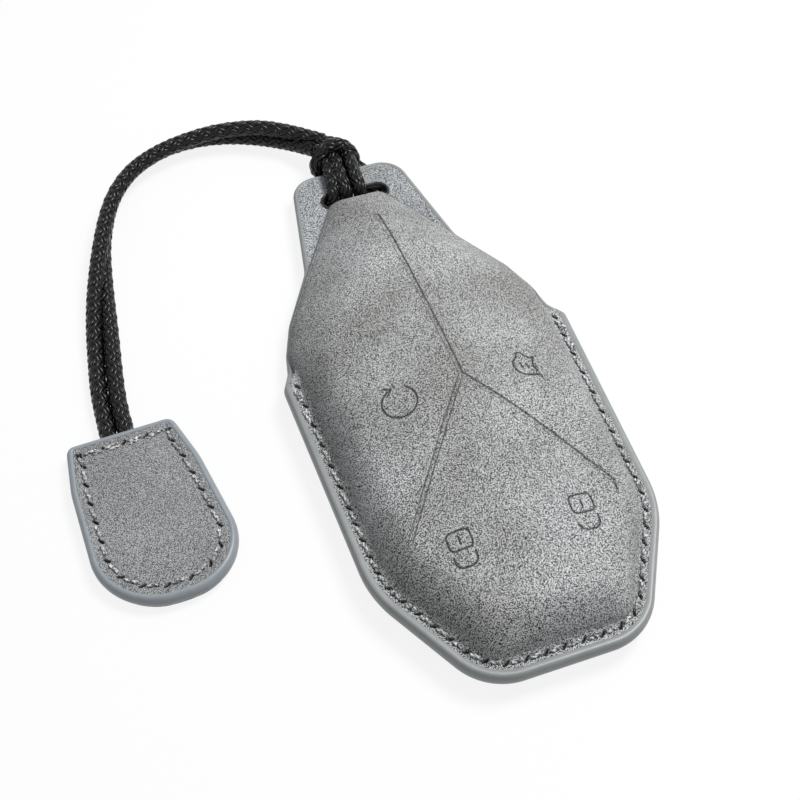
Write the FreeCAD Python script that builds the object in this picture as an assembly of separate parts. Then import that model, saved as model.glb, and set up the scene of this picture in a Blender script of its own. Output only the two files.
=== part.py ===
import FreeCAD, Part
import math
import os

# Soft leather cover for a car key, lying on its back with its lanyard beside it.
# Millimetres. +X across, +Y towards the tab, +Z up from the back to the domed front.
# Heights named "..._at" run up the cover from its bottom edge.

# Outline of the cover, outside the painted edge
cover_length = 117.3
bottom_width = 27.9
hip_width = 51.2
hip_at = 22.7
cover_width = 54.0
shoulder_at = 65.0
mouth_width = 50.4
mouth_at = 72.4
waist_width = 31.3
waist_at = 92.1
tab_width = 22.2
bottom_round = 8.0
hip_round = 20.0
shoulder_round = 4.0
mouth_round = 6.0
waist_round = 8.0
tab_round = 5.5

# Leather, lining and the painted edge
leather = 1.0
lining = 0.4
glue = 0.05
edge_coat = 0.7

# Moulded front: a dome over the key
seam_margin = 4.15
lip_corner_at = 71.8
nose_width = 11.6
nose_at = 106.0
foot_round = 4.0
side_round = 20.0
lip_round = 8.0
nose_round = 3.0
crown_height = 12.0
crown_at = 50.0
crown_power = 1.5
nose_crown = 6.05
foot_crown = 6.2
foot_crown_at = 8.0
foot_rise_length = 6.0
nose_rise_length = 9.0
dome_stations = 24

# Mouth: the front is free from a little above the shoulders
mouth_over_shoulder = 1.5
mouth_gap = 0.2
lip_coat = 0.6

# Pressed marks on the front
mark_depth = 0.3
line_width = 0.8
icon_line = 0.5
fork_at = 48.8
spine_top_at = 94.6
arm_reach = 17.7
arm_end_at = 24.7
upper_icon_reach = 11.4
upper_icon_at = 48.1
lower_icon_reach = 10.5
lower_icon_at = 20.2
arrow_ring = 6.0
arrow_arc = (-81.0, 232.0)
arrow_steps = 10
arrow_head = [(1.9, -3.65), (0.47, -2.96), (1.6, -1.87)]
car_line = [
    (2.7, 1.5), (2.7, -1.5), (-2.7, -1.5), (-2.7, 0.3),
    (-0.9, 0.75), (0.0, 1.5), (2.7, 1.5), (0.9, 3.3)]
lock_width = 4.4
lock_height = 3.6
lock_shackle = 2.6

# Moulded back: a shallow tray
back_rise = 3.0
tray_margin = 1.0
tray_round = 3.0
tray_end_at = 97.0
tray_levels = 4

# Slot in the tab
slot_length = 13.5
slot_room = 1.2
slot_at = 109.0
slot_coat = 0.3

# Seam
seam_inset = 2.45
seam_below_mouth = 1.9
pitch_change_at = 37.0
lower_pitch = 3.2
side_pitch = 4.4
thread = 0.7
thread_leg = 0.6
thread_knuckle = 0.09
stitch_end = 0.16
needle_room = 0.1

# Lanyard cord, its knot and the joints at its ends
cord = 2.8
loop_gap = 0.4
loop_shift = -0.6
loop_front_gap = 0.3
loop_back_gap = 0.15
loop_front_end_at = 117.5
loop_back_end_at = 118.0
knot_center = (0.5, 63.5, 5.2)
knot_reach = 4.05
knot_core = 3.7
knot_squeeze = 0.3
knot_cross_wrap = (1.0, 1.0, 0.4)
outer_strand_route = [
    (-1.7, 67.7, 5.2), (-6.6, 72.2, 5.2), (-14.5, 77.6, 4.6), (-23.2, 80.6, 4.5),
    (-32.7, 80.0, 4.5), (-40.8, 76.2, 4.6), (-46.7, 69.2, 4.6), (-50.7, 61.2, 4.4),
    (-53.6, 52.0, 3.7), (-55.8, 42.9, 2.7), (-57.6, 33.7, 1.9), (-58.9, 24.7, 1.6),
    (-59.5, 16.6, 1.6), (-59.5, 10.23, 1.7)]
inner_strand_route = [
    (-3.8, 65.5, 5.0), (-8.7, 70.0, 4.7), (-15.9, 75.0, 3.4), (-23.8, 78.1, 2.2),
    (-32.2, 78.0, 1.7), (-39.5, 74.9, 1.6), (-45.3, 68.3, 1.5), (-49.2, 60.8, 1.5),
    (-51.4, 51.6, 1.5), (-52.8, 42.7, 1.5), (-54.2, 33.5, 1.6), (-55.3, 24.5, 1.6),
    (-55.9, 16.3, 1.6), (-56.0, 10.47, 1.7)]
arc_share = 0.45

# Tag at the end of the lanyard, in its own frame: top edge at y 0, hanging towards -Y
tag_length = 35.2
tag_width = 24.0
tag_top_width = 17.6
tag_flare_width = 22.6
tag_flare_at = 10.0
tag_corner = 1.8
tag_flare_round = 20.0
tag_end_round = 11.2
tag_leather = 1.2
tag_core = 1.0
tag_pitch = 4.0
tag_seam_inset = 2.7
tag_channel_room = 0.05
tag_place = (-56.85, 8.7, 0.0)
tag_turn = 4.0
tail_length = 12.0
tail_width = 3.4
tail_gap = 0.1
tail_shift = -0.8

# Levels worked out from the sizes above
half_length = cover_length / 2
back_level = back_rise
seam_level = back_level + leather + lining
front_level = seam_level + lining + leather
inner = leather + glue + lining
mouth_line = shoulder_at + mouth_over_shoulder - half_length
slot_height = cord + slot_room
needle_hole = thread_leg + 2 * needle_room
tag_thickness = 2 * tag_leather + tag_core
tag_channel = thread / 2 + tag_channel_room
FIT_SHARE = 0.48
FAR = 10 * cover_length


def vec(x, y, z=0.0):
    return FreeCAD.Vector(x, y, z)


def mirrored(right):
    """Close a right-hand list of corners with its mirror image."""
    return right + [(-x, y) for x, y in reversed(right)]


def both(values):
    return values + values[::-1]


def turn_sign(a, b, c):
    cross = (b[0] - a[0]) * (c[1] - b[1]) - (b[1] - a[1]) * (c[0] - b[0])
    return 1.0 if cross > 0 else -1.0


def inset_corners(points, depth):
    """Move each side of a counter-clockwise outline inwards and meet the sides again."""
    moved = []
    count = len(points)
    for i in range(count):
        a, b, c = points[i - 1], points[i], points[(i + 1) % count]
        u = vec(b[0] - a[0], b[1] - a[1]).normalize()
        v = vec(c[0] - b[0], c[1] - b[1]).normalize()
        nu, nv = vec(-u.y, u.x), vec(-v.y, v.x)
        step = (nu + nv) * (depth / (1 + nu.dot(nv)))
        moved.append((b[0] + step.x, b[1] + step.y))
    return moved


def inset_rounds(points, rounds, depth):
    """Corner radii of the inset outline: less at an outward corner, more at an inward one."""
    count = len(points)
    kept = []
    for i in range(count):
        sign = turn_sign(points[i - 1], points[i], points[(i + 1) % count])
        kept.append(max(rounds[i] - sign * depth, leather / 4))
    return kept


def corner_arcs(points, rounds):
    """Start, middle, end, centre and radius of each corner's arc, which its sides may limit."""
    arcs = []
    count = len(points)
    for i in range(count):
        b = vec(*points[i])
        u = vec(*points[i - 1]) - b
        v = vec(*points[(i + 1) % count]) - b
        half = u.getAngle(v) / 2
        reach = min(rounds[i] / math.tan(half), FIT_SHARE * min(u.Length, v.Length))
        radius = reach * math.tan(half)
        u.normalize()
        v.normalize()
        bisector = (u + v).normalize()
        center = b + bisector * (radius / math.sin(half))
        arcs.append((b + u * reach, center - bisector * radius, b + v * reach, center, radius))
    return arcs


def outline_wire(points, rounds, z):
    edges = []
    arcs = corner_arcs(points, rounds)
    lift = vec(0, 0, z)
    for i, (start, middle, end, center, radius) in enumerate(arcs):
        edges.append(Part.Arc(start + lift, middle + lift, end + lift).toShape())
        following = arcs[(i + 1) % len(arcs)][0]
        if (following - end).Length > 1e-6:
            edges.append(Part.LineSegment(end + lift, following + lift).toShape())
    return Part.Wire(edges)


def prism(wire, height):
    return Part.Face(wire).extrude(vec(0, 0, height))


def slab(low, high, y_low=-FAR, y_high=FAR):
    """A large block between two levels and two places along the cover."""
    return Part.makeBox(2 * FAR, y_high - y_low, high - low, vec(-FAR, y_low, low))


cover_corners = mirrored([
    (bottom_width / 2, -half_length), (hip_width / 2, hip_at - half_length),
    (cover_width / 2, shoulder_at - half_length), (mouth_width / 2, mouth_at - half_length),
    (waist_width / 2, waist_at - half_length), (tab_width / 2, half_length)])
cover_rounds = both([bottom_round, hip_round, shoulder_round, mouth_round, waist_round, tab_round])


def cover_wire(inset, z):
    corners = inset_corners(cover_corners, inset)
    return outline_wire(corners, inset_rounds(cover_corners, cover_rounds, inset), z)


def plate(inset, low, high):
    return prism(cover_wire(inset, low), high - low)


def foot_corners():
    """Where the dome meets the flat edge: along the seam, then in to the nose."""
    slope = (cover_width - hip_width) / 2 / (shoulder_at - hip_at)
    top = lip_corner_at + seam_margin
    side = mirrored([
        (bottom_width / 2, -half_length), (hip_width / 2, hip_at - half_length),
        (hip_width / 2 + slope * (top - hip_at), top - half_length)])
    seam = inset_corners(side, seam_margin)[:3]
    return seam + [(nose_width / 2, nose_at - half_length)]


foot = foot_corners()
foot_rounds = [foot_round, side_round, lip_round, nose_round]


def half_width(arcs, y):
    """Half width of a rounded outline at one place along the cover."""
    for i, (start, middle, end, center, radius) in enumerate(arcs):
        if start.y <= y <= end.y:
            return center.x + math.sqrt(max(radius ** 2 - (y - center.y) ** 2, 0))
        if y < start.y:
            last = arcs[i - 1][2]
            return last.x + (start.x - last.x) * (y - last.y) / (start.y - last.y)
    return arcs[-1][2].x


def ease(distance, length):
    """Quarter-ellipse rise from 0 to 1 over a length."""
    share = min(max(distance / length, 0), 1)
    return math.sqrt(1 - (1 - share) ** 2)


def crown(y):
    """Height of the dome's middle line above the flat edge, before its ends round over."""
    at = y + half_length
    if at < crown_at:
        share = min((crown_at - at) / (crown_at - foot_crown_at), 1)
        return crown_height - (crown_height - foot_crown) * share ** 2 * (3 - 2 * share)
    reach = (at - crown_at) / (nose_at - crown_at)
    return crown_height - (crown_height - nose_crown) * reach ** crown_power


def dome(inset, low):
    """Solid under the front skin, drawn in by an inset and standing on a level."""
    corners = mirrored(foot)
    rounds = inset_rounds(corners, both(foot_rounds), inset)
    arcs = corner_arcs(inset_corners(corners, inset), rounds)[:len(foot)]
    start, end = arcs[0][0].y, arcs[-1][2].y
    margin = leather / 10
    sections = []
    for i in range(dome_stations + 1):
        share = (1 - math.cos(math.pi * i / dome_stations)) / 2
        y = start + margin + (end - start - 2 * margin) * share
        rise = ease(y - start, foot_rise_length) * ease(end - y, nose_rise_length)
        sections.append(dome_section(y, half_width(arcs, y), (crown(y) - inset) * rise, low))
    return Part.makeLoft(sections, True, False)


def dome_section(y, width, height, low):
    """Half ellipse over a straight-sided foot, square to the cover's length."""
    arch = Part.Arc(vec(1, 0, 0), vec(0, 0, 1), vec(-1, 0, 0)).toShape()
    stretch = FreeCAD.Matrix()
    stretch.scale(width, 1, height)
    stretch.move(vec(0, y, front_level))
    right, left = vec(width, y, front_level), vec(-width, y, front_level)
    right_foot, left_foot = vec(width, y, low), vec(-width, y, low)
    return Part.Wire([
        arch.transformGeometry(stretch), Part.makeLine(left, left_foot),
        Part.makeLine(left_foot, right_foot), Part.makeLine(right_foot, right)])


def stroke(points, width, low=0.0, high=front_level + crown_height):
    """Upright wall along a broken line, with round ends."""
    pieces = []
    for a, b in zip(points, points[1:]):
        run = vec(b[0] - a[0], b[1] - a[1])
        bar = Part.makeBox(run.Length, width, high - low, vec(0, -width / 2, low))
        bar.rotate(vec(0, 0), vec(0, 0, 1), math.degrees(math.atan2(run.y, run.x)))
        bar.translate(vec(a[0], a[1]))
        pieces.append(bar)
    pieces += [Part.makeCylinder(width / 2, high - low, vec(x, y, low)) for x, y in points]
    return pieces


def on_icon(center, points):
    """Icons read the right way up with the tab hanging down."""
    return [(center[0] - x, center[1] - y) for x, y in points]


def arc_points(radius, first, last, steps):
    span = (last - first) / steps
    angles = [math.radians(first + span * i) for i in range(steps + 1)]
    return [(radius * math.cos(a), radius * math.sin(a)) for a in angles]


def marks():
    """Forked line, turning arrow, car with an open lid and two padlocks."""
    fork = (0, fork_at - half_length)
    walls = stroke([(0, spine_top_at - half_length), fork], line_width)
    for side in (-1, 1):
        walls += stroke([fork, (side * arm_reach, arm_end_at - half_length)], line_width)
    upper = upper_icon_at - half_length
    lower = lower_icon_at - half_length
    arrow_center = (-upper_icon_reach, upper)
    walls += stroke(on_icon(arrow_center, arc_points(arrow_ring / 2, *arrow_arc, arrow_steps)), icon_line)
    walls += stroke(on_icon(arrow_center, arrow_head), icon_line)
    walls += stroke(on_icon((upper_icon_reach, upper), car_line), icon_line)
    w, h = lock_width / 2, lock_height / 2
    case = [(-w, -h), (w, -h), (w, h), (-w, h), (-w, -h)]
    s = lock_shackle / 2
    for side, lifted in ((-1, 0), (1, s / 2)):
        center = (side * lower_icon_reach, lower)
        shackle = [(-s, h), (-s, h + s), (0, h + 2 * s), (s, h + s), (s, h + lifted)]
        walls += stroke(on_icon(center, case), icon_line)
        walls += stroke(on_icon(center, shackle), icon_line)
        walls += stroke(on_icon(center, [(0, -h / 3), (0, h / 3)]), icon_line)
    layer = dome(0, front_level - leather).cut(dome(mark_depth, back_level))
    return layer.common(walls[0].multiFuse(walls[1:]))


def tray(inset, top):
    """Shallow moulded hollow of the back, drawn in by an inset, open up to a level."""
    run = (foot[3][0] - foot[2][0]) / (nose_at - lip_corner_at)
    end_half = foot[2][0] + run * (tray_end_at - lip_corner_at)
    corners = mirrored(foot[:3] + [(end_half, tray_end_at - half_length)])
    rounds = both(foot_rounds[:3] + [foot_round])
    wires = []
    for i in range(tray_levels + 1):
        angle = math.pi / 2 * i / tray_levels
        depth = tray_margin + inset + tray_round * (1 - math.cos(angle))
        z = back_level - (back_level - inset) * math.sin(angle)
        wires.append(outline_wire(inset_corners(corners, depth), inset_rounds(corners, rounds, depth), z))
    upright = prism(wires[0], top - back_level)
    return Part.makeLoft(wires, True, True).fuse(upright)


def slot(grow, low, high):
    radius = slot_height / 2 + grow
    half = slot_length / 2 - slot_height / 2
    y = slot_at - half_length
    corners = [(half + radius, y - radius), (half + radius, y + radius),
               (-half - radius, y + radius), (-half - radius, y - radius)]
    rounds = [radius * 0.999] * 4
    return prism(outline_wire(corners, rounds, low), high - low)


def rounded_band(wire_at, width, low, high):
    """Painted edge: a ring of one width with its outer edges rounded over."""
    solid = prism(wire_at(0, low), high - low)
    radius = 0.95 * min(width, (high - low) / 2)
    rims = [e for e in solid.Edges if abs(e.BoundBox.ZLength) < 1e-6]
    return solid.makeFillet(radius, rims).cut(prism(wire_at(width, low - 1), high - low + 2))


def needle_points():
    """Stitch holes from one shoulder round the bottom to the other."""
    corners = inset_corners(cover_corners, seam_inset)
    arcs = corner_arcs(corners, inset_rounds(cover_corners, cover_rounds, seam_inset))
    first, second, third = arcs[0], arcs[1], arcs[2]
    change = pitch_change_at - half_length
    top = mouth_line - seam_below_mouth

    def on_side(y):
        share = (y - second[2].y) / (third[0].y - second[2].y)
        return second[2] + (third[0] - second[2]) * share

    lower = Part.Wire([
        Part.makeLine(vec(0, first[0].y), first[0]), Part.Arc(*first[:3]).toShape(),
        Part.makeLine(first[2], second[0]), Part.Arc(*second[:3]).toShape(),
        Part.makeLine(second[2], on_side(change))])
    upper = Part.Wire([Part.makeLine(on_side(change), on_side(top))])
    right = lower.discretize(round(lower.Length / lower_pitch) + 1)
    right += upper.discretize(round(upper.Length / side_pitch) + 1)[1:]
    left = [vec(-p.x, p.y) for p in reversed(right[1:])]
    return left + right


def stitch(a, b, up):
    """One stitch: a grain of thread lying flat between two holes."""
    run = b - a
    length = run.Length - 2 * stitch_end
    profile = Part.Wire([
        Part.Arc(vec(0, 0), vec(length / 2, thread / 2), vec(length, 0)).toShape(),
        Part.makeLine(vec(length, 0), vec(0, 0))])
    grain = Part.Face(profile).revolve(vec(0, 0), vec(1, 0), 180)
    if not up:
        grain.rotate(vec(0, 0), vec(1, 0), 180)
    grain.translate(vec(stitch_end, 0))
    grain.rotate(vec(0, 0), vec(0, 0, 1), math.degrees(math.atan2(run.y, run.x)))
    grain.translate(a)
    return grain


def thread_run(points, level, lock_level, closed=False):
    """A row of stitches with a leg down each hole to where the two threads lock."""
    lift = vec(0, 0, level)
    up = level > lock_level
    ends = points + points[:1] if closed else points
    pieces = [stitch(a + lift, b + lift, up) for a, b in zip(ends, ends[1:])]
    knuckle = thread_knuckle if up else -thread_knuckle
    low, high = sorted((lock_level, level + knuckle))
    pieces += [Part.makeCylinder(thread_leg / 2, high - low, vec(p.x, p.y, low)) for p in points]
    return pieces[0].multiFuse(pieces[1:])


def needle_holes(points, low, high):
    return Part.makeCompound(
        [Part.makeCylinder(needle_hole / 2, high - low, vec(p.x, p.y, low)) for p in points])


def cord_path(route):
    """Straight runs joined by arcs as large as the runs allow."""
    points = [vec(*p) for p in route]
    edges, radii = [], []
    here = points[0]
    for a, b, c in zip(points, points[1:], points[2:]):
        u, v = (a - b).normalize(), (c - b).normalize()
        half_turn = (math.pi - u.getAngle(v)) / 2
        reach = arc_share * min((a - b).Length, (c - b).Length)
        radius = reach / math.tan(half_turn)
        bisector = (u + v).normalize()
        middle = b + bisector * (radius / math.cos(half_turn) - radius)
        start, end = b + u * reach, b + v * reach
        edges.append(Part.LineSegment(here, start).toShape())
        edges.append(Part.Arc(start, middle, end).toShape())
        radii.append(round(radius, 1))
        here = end
    edges.append(Part.LineSegment(here, points[-1]).toShape())
    return Part.Wire(edges), radii


def tube(path, direction):
    start = path.Edges[0].valueAt(path.Edges[0].FirstParameter)
    ring = Part.Wire([Part.Circle(start, direction, cord / 2).toShape()])
    return path.makePipeShell([ring], True, False)


def strand(name, route):
    """Free stretch of cord with a rounded end at the tag."""
    path, radii = cord_path(route)
    solid = tube(path, vec(*route[1]) - vec(*route[0]))
    section = math.pi * (cord / 2) ** 2
    print(name, "radii", radii, "length", round(path.Length, 1),
          "volume share", round(solid.Volume / (section * path.Length), 4))
    way_out = vec(*route[-1]) - vec(*route[-2])
    return solid.fuse(Part.makeSphere(cord / 2, vec(*route[-1]), way_out, 0, 90))


def loop(x):
    """Cord from the knot over the tab, down the slot and back behind the tab."""
    front = seam_level + loop_front_gap + cord / 2
    back = back_level - loop_back_gap - cord / 2
    radius = (front - back) / 2
    turn_y = slot_at - half_length + radius
    middle = (front + back) / 2
    path = Part.Wire([
        Part.makeLine(vec(x, loop_front_end_at - half_length, front), vec(x, turn_y, front)),
        Part.Arc(vec(x, turn_y, front), vec(x, turn_y - radius, middle), vec(x, turn_y, back)).toShape(),
        Part.makeLine(vec(x, turn_y, back), vec(x, loop_back_end_at - half_length, back))])
    return tube(path, vec(0, -1, 0))


def knot():
    """Overhand knot: wraps of cord drawn tight round a packed middle."""
    wrap = (cord - knot_squeeze) / 2
    ring = math.sqrt((knot_reach - wrap) ** 2 - wrap ** 2)
    center = vec(*knot_center)
    body = Part.makeSphere(knot_core, center)
    wraps = [Part.makeTorus(knot_reach - wrap, wrap, center, vec(*knot_cross_wrap))]
    for offset in (-wrap, wrap):
        wraps.append(Part.makeTorus(ring, wrap, center + vec(offset, 0, 0), vec(1, 0, 0)))
    return body.multiFuse(wraps)


tag_corners = [(-x, -y) for x, y in mirrored([
    (tag_top_width / 2, 0), (tag_flare_width / 2, tag_flare_at), (tag_width / 2, tag_length)])]
tag_rounds = both([tag_corner, tag_flare_round, tag_end_round])


def tag_wire(inset, z):
    corners = inset_corners(tag_corners, inset)
    return outline_wire(corners, inset_rounds(tag_corners, tag_rounds, inset), z)


def tag_layer(low, high):
    return prism(tag_wire(edge_coat + glue, low), high - low)


def tails(grow):
    """Flattened ends of the cord, sewn between the tag's two skins."""
    width, length = tail_width + 2 * grow, tail_length + 2 * grow
    strips = []
    for side in (-1, 1):
        x = tail_shift + side * (tail_width + tail_gap) / 2 - width / 2
        strips.append(Part.makeBox(width, length, tag_core, vec(x, -tail_length - grow, tag_leather)))
    return strips


def tag_pieces():
    row = tag_wire(tag_seam_inset, 0)
    count = round(row.Length / tag_pitch)
    points = row.discretize(count + 1)[:-1]
    lock = tag_thickness / 2
    holes = needle_holes(points, -1, tag_thickness + 1)
    places = [(p.x, p.y) for p in points + points[:1]]
    channels = stroke(places, thread + 2 * tag_channel_room, -1, tag_channel)
    channel = channels[0].multiFuse(channels[1:])
    room = Part.makeCompound(tails(glue))
    pieces = {
        "tag_back": tag_layer(0, tag_leather).cut(channel).cut(holes),
        "tag_core": tag_layer(tag_leather, tag_leather + tag_core).cut(room).cut(holes),
        "tag_front": tag_layer(tag_leather + tag_core, tag_thickness).cut(holes),
        "tag_edge_coat": rounded_band(tag_wire, edge_coat, 0, tag_thickness).cut(room),
        "cord_tails": Part.makeCompound(tails(0)).cut(holes),
        "tag_top_thread": thread_run(points, tag_thickness, lock, True),
        "tag_bobbin_thread": thread_run(points, tag_channel, lock, True)}
    for shape in pieces.values():
        shape.rotate(vec(0, 0), vec(0, 0, 1), tag_turn)
        shape.translate(vec(*tag_place))
    return pieces


def front_pieces(holes):
    """Front skin and lining, sewn below the mouth line and free above it."""
    below = slab(-FAR, FAR, -FAR, mouth_line - mouth_gap / 2)
    above = slab(-FAR, FAR, mouth_line + mouth_gap / 2, FAR)
    flat = edge_coat + glue
    lip_foot = seam_level + mouth_gap
    lip_edge = lip_foot + lip_coat
    skin_inside = dome(leather, back_level)
    hollow = dome(inner, back_level)
    pressed = marks()
    skin = plate(flat, seam_level + lining, front_level).common(below)
    skin = skin.fuse(dome(0, seam_level + lining).common(below)).cut(skin_inside).removeSplitter()
    backing = plate(flat, seam_level, seam_level + lining).common(below)
    backing = backing.fuse(dome(leather + glue, seam_level).common(below)).cut(hollow)
    lip = dome(0, lip_edge).cut(skin_inside).common(above)
    lip_backing = dome(leather + glue, lip_edge).cut(hollow).common(above)
    lip_rim = dome(0, lip_foot).cut(hollow).common(above).common(slab(lip_foot, lip_edge))
    return {
        "front_panel": skin.cut(pressed).cut(holes), "front_lining": backing.cut(holes),
        "front_lip": lip.cut(pressed), "front_lip_lining": lip_backing, "lip_edge_coat": lip_rim}


def back_pieces(holes):
    """Back skin and lining with the tab and its slot, in one piece from bottom to tab."""
    flat = edge_coat + glue
    skin_top = back_level + leather
    skin = plate(flat, back_level, skin_top).fuse(tray(0, skin_top)).cut(tray(leather, front_level))
    backing = plate(flat, skin_top, seam_level).fuse(tray(leather + glue, seam_level))
    backing = backing.cut(tray(inner, front_level))
    opening = slot(slot_coat + glue, back_level - 1, front_level)
    rim = slot(slot_coat, back_level, seam_level).cut(slot(0, back_level - 1, front_level))
    return {"back_panel": skin.cut(opening).cut(holes), "back_lining": backing.cut(opening).cut(holes),
            "slot_edge_coat": rim}


points = needle_points()
holes = needle_holes(points, 0, front_level + 1)
pieces = {}
pieces.update(front_pieces(holes))
pieces.update(back_pieces(holes))
pieces["seam_edge_coat"] = rounded_band(cover_wire, edge_coat, back_level, front_level).common(
    slab(-FAR, FAR, -FAR, mouth_line - mouth_gap / 2))
pieces["tab_edge_coat"] = rounded_band(cover_wire, edge_coat, back_level, seam_level).common(
    slab(-FAR, FAR, mouth_line - mouth_gap / 2, FAR))
pieces["seam_top_thread"] = thread_run(points, front_level, seam_level)
pieces["seam_bobbin_thread"] = thread_run(points, back_level, seam_level)
pieces["loop_strand_left"] = loop(loop_shift - (cord + loop_gap) / 2)
pieces["loop_strand_right"] = loop(loop_shift + (cord + loop_gap) / 2)
pieces["lanyard_knot"] = knot()
pieces["cord_strand_outer"] = strand("outer strand", outer_strand_route)
pieces["cord_strand_inner"] = strand("inner strand", inner_strand_route)
pieces.update(tag_pieces())

os.makedirs("parts", exist_ok=True)
for name, shape in pieces.items():
    print(name, len(shape.Solids), "solids", shape.isValid(), round(shape.Volume, 1), "mm3")
    shape.exportStep("parts/" + name + ".step")
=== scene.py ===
import math

import bmesh
import bpy
import numpy as np
from mathutils import Matrix, Vector


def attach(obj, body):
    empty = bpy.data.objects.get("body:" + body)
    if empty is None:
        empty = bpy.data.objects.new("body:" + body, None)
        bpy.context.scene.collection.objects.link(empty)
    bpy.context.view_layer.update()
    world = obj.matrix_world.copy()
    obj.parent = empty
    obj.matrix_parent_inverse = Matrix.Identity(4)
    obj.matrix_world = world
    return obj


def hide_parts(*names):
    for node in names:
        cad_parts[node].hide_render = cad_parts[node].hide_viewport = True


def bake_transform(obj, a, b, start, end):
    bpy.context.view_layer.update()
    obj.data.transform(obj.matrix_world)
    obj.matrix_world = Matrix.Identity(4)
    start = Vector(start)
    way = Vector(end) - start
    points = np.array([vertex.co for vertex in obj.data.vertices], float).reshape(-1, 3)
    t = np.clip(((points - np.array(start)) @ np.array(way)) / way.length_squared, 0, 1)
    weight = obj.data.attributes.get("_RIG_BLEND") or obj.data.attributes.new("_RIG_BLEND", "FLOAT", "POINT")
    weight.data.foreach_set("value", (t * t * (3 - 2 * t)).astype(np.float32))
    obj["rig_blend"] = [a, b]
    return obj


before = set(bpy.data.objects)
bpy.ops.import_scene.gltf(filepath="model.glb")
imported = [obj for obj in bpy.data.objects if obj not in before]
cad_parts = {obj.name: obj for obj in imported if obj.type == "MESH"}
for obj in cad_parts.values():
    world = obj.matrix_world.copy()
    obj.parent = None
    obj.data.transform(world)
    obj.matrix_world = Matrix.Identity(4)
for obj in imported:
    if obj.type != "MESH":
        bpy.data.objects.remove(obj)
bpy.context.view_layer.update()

# Viewpoint. The cover lies on a table and is seen from its lower left, looking down at about
# 54 degrees through a slightly long lens.
MM = 0.001
eye = Vector((-50.26, -123.1, 177.8)) * MM
line_of_sight = Vector((0.1944, 0.5617, -0.8042))


def add_object(name, data):
    """New object in the scene with its data."""
    thing = bpy.data.objects.new(name, data)
    bpy.context.scene.collection.objects.link(thing)
    return thing


def aim(thing, place, direction):
    """Put a camera or a lamp in its place, looking along a direction."""
    thing.location = place
    thing.rotation_euler = direction.to_track_quat("-Z", "Y").to_euler()


lens = bpy.data.cameras.new("viewpoint")
lens.lens = 54.0
lens.sensor_width = 36.0
viewpoint = add_object("viewpoint", lens)
aim(viewpoint, eye, line_of_sight)
bpy.context.scene.camera = viewpoint
bpy.context.scene.view_settings.view_transform = "Standard"

# Studio. A white table, a large soft lamp from the upper right and a dim even sky, so that a
# finish shows about the colour that it is given. The table keeps a faint shadow of the cover.
table_half = 2.0
table_white = 0.9
table_bounce = 0.4
shadow_share = 0.14
sky_light = (0.93, 0.96, 1.0, 1.0)
sky_strength = 0.4
lamp_place = Vector((200.0, 55.0, 425.0)) * MM
lamp_aim = Vector((0.0, 0.0, 0.0))
lamp_size = 170.0 * MM
lamp_power = 2.0


def set_inputs(tree, node, inputs):
    """Fill a node's inputs: a value is written on the socket, another node's socket is linked."""
    for key, value in inputs.items():
        if isinstance(value, bpy.types.NodeSocket):
            tree.links.new(value, node.inputs[key])
        else:
            node.inputs[key].default_value = value


def add_node(tree, kind, inputs=None, **settings):
    """New node with its settings and inputs."""
    node = tree.nodes.new(kind)
    for name, value in settings.items():
        setattr(node, name, value)
    set_inputs(tree, node, inputs or {})
    return node


def add_math(tree, operation, first, second=0.0, third=0.0):
    return add_node(tree, "ShaderNodeMath", {0: first, 1: second, 2: third}, operation=operation).outputs[0]


def add_range(tree, value, low, high, start=0.0, end=1.0):
    """A value that runs from start to end, spread over low to high."""
    node = add_node(tree, "ShaderNodeMapRange", {
        "Value": value, "From Min": start, "From Max": end, "To Min": low, "To Max": high})
    return node.outputs["Result"]


def seen_directly(tree):
    """1 for rays that show the surroundings themselves, straight or in a reflection."""
    path = add_node(tree, "ShaderNodeLightPath").outputs
    shown = add_math(tree, "MAXIMUM", path["Is Camera Ray"], path["Is Glossy Ray"])
    return add_math(tree, "MAXIMUM", shown, path["Is Transmission Ray"])


def bare_tree(owner):
    """Empty node tree of a new material or world."""
    owner.use_nodes = True
    owner.node_tree.nodes.clear()
    return owner.node_tree


def table_finish():
    material = bpy.data.materials.new("white_table")
    tree = bare_tree(material)
    seen = seen_directly(tree)
    matt = add_node(
        tree, "ShaderNodeBsdfDiffuse", {"Color": add_range(tree, seen, table_bounce, table_white)})
    glow = add_node(tree, "ShaderNodeEmission", {"Strength": 1.0})
    share = add_math(tree, "MULTIPLY", seen, 1 - shadow_share)
    mixed = add_node(tree, "ShaderNodeMixShader", {0: share, 1: matt.outputs[0], 2: glow.outputs[0]})
    add_node(tree, "ShaderNodeOutputMaterial", {"Surface": mixed.outputs[0]})
    return material


def light_sky():
    world = bpy.data.worlds.new("studio")
    tree = bare_tree(world)
    dim = add_node(tree, "ShaderNodeBackground", {"Color": sky_light, "Strength": sky_strength})
    white = add_node(tree, "ShaderNodeBackground", {"Strength": 1.0})
    seen = seen_directly(tree)
    mixed = add_node(tree, "ShaderNodeMixShader", {0: seen, 1: dim.outputs[0], 2: white.outputs[0]})
    add_node(tree, "ShaderNodeOutputWorld", {"Surface": mixed.outputs[0]})
    bpy.context.scene.world = world


table_mesh = bpy.data.meshes.new("table")
table_mesh.from_pydata(
    [(x * table_half, y * table_half, 0.0) for x, y in ((-1, -1), (1, -1), (1, 1), (-1, 1))],
    [], [(0, 1, 2, 3)])
table_mesh.materials.append(table_finish())
table = add_object("table", table_mesh)
light_sky()

lamp_light = bpy.data.lights.new("soft_lamp", "AREA")
lamp_light.size = lamp_size
lamp_light.energy = lamp_power
aim(add_object("soft_lamp", lamp_light), lamp_place, lamp_aim - lamp_place)

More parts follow.
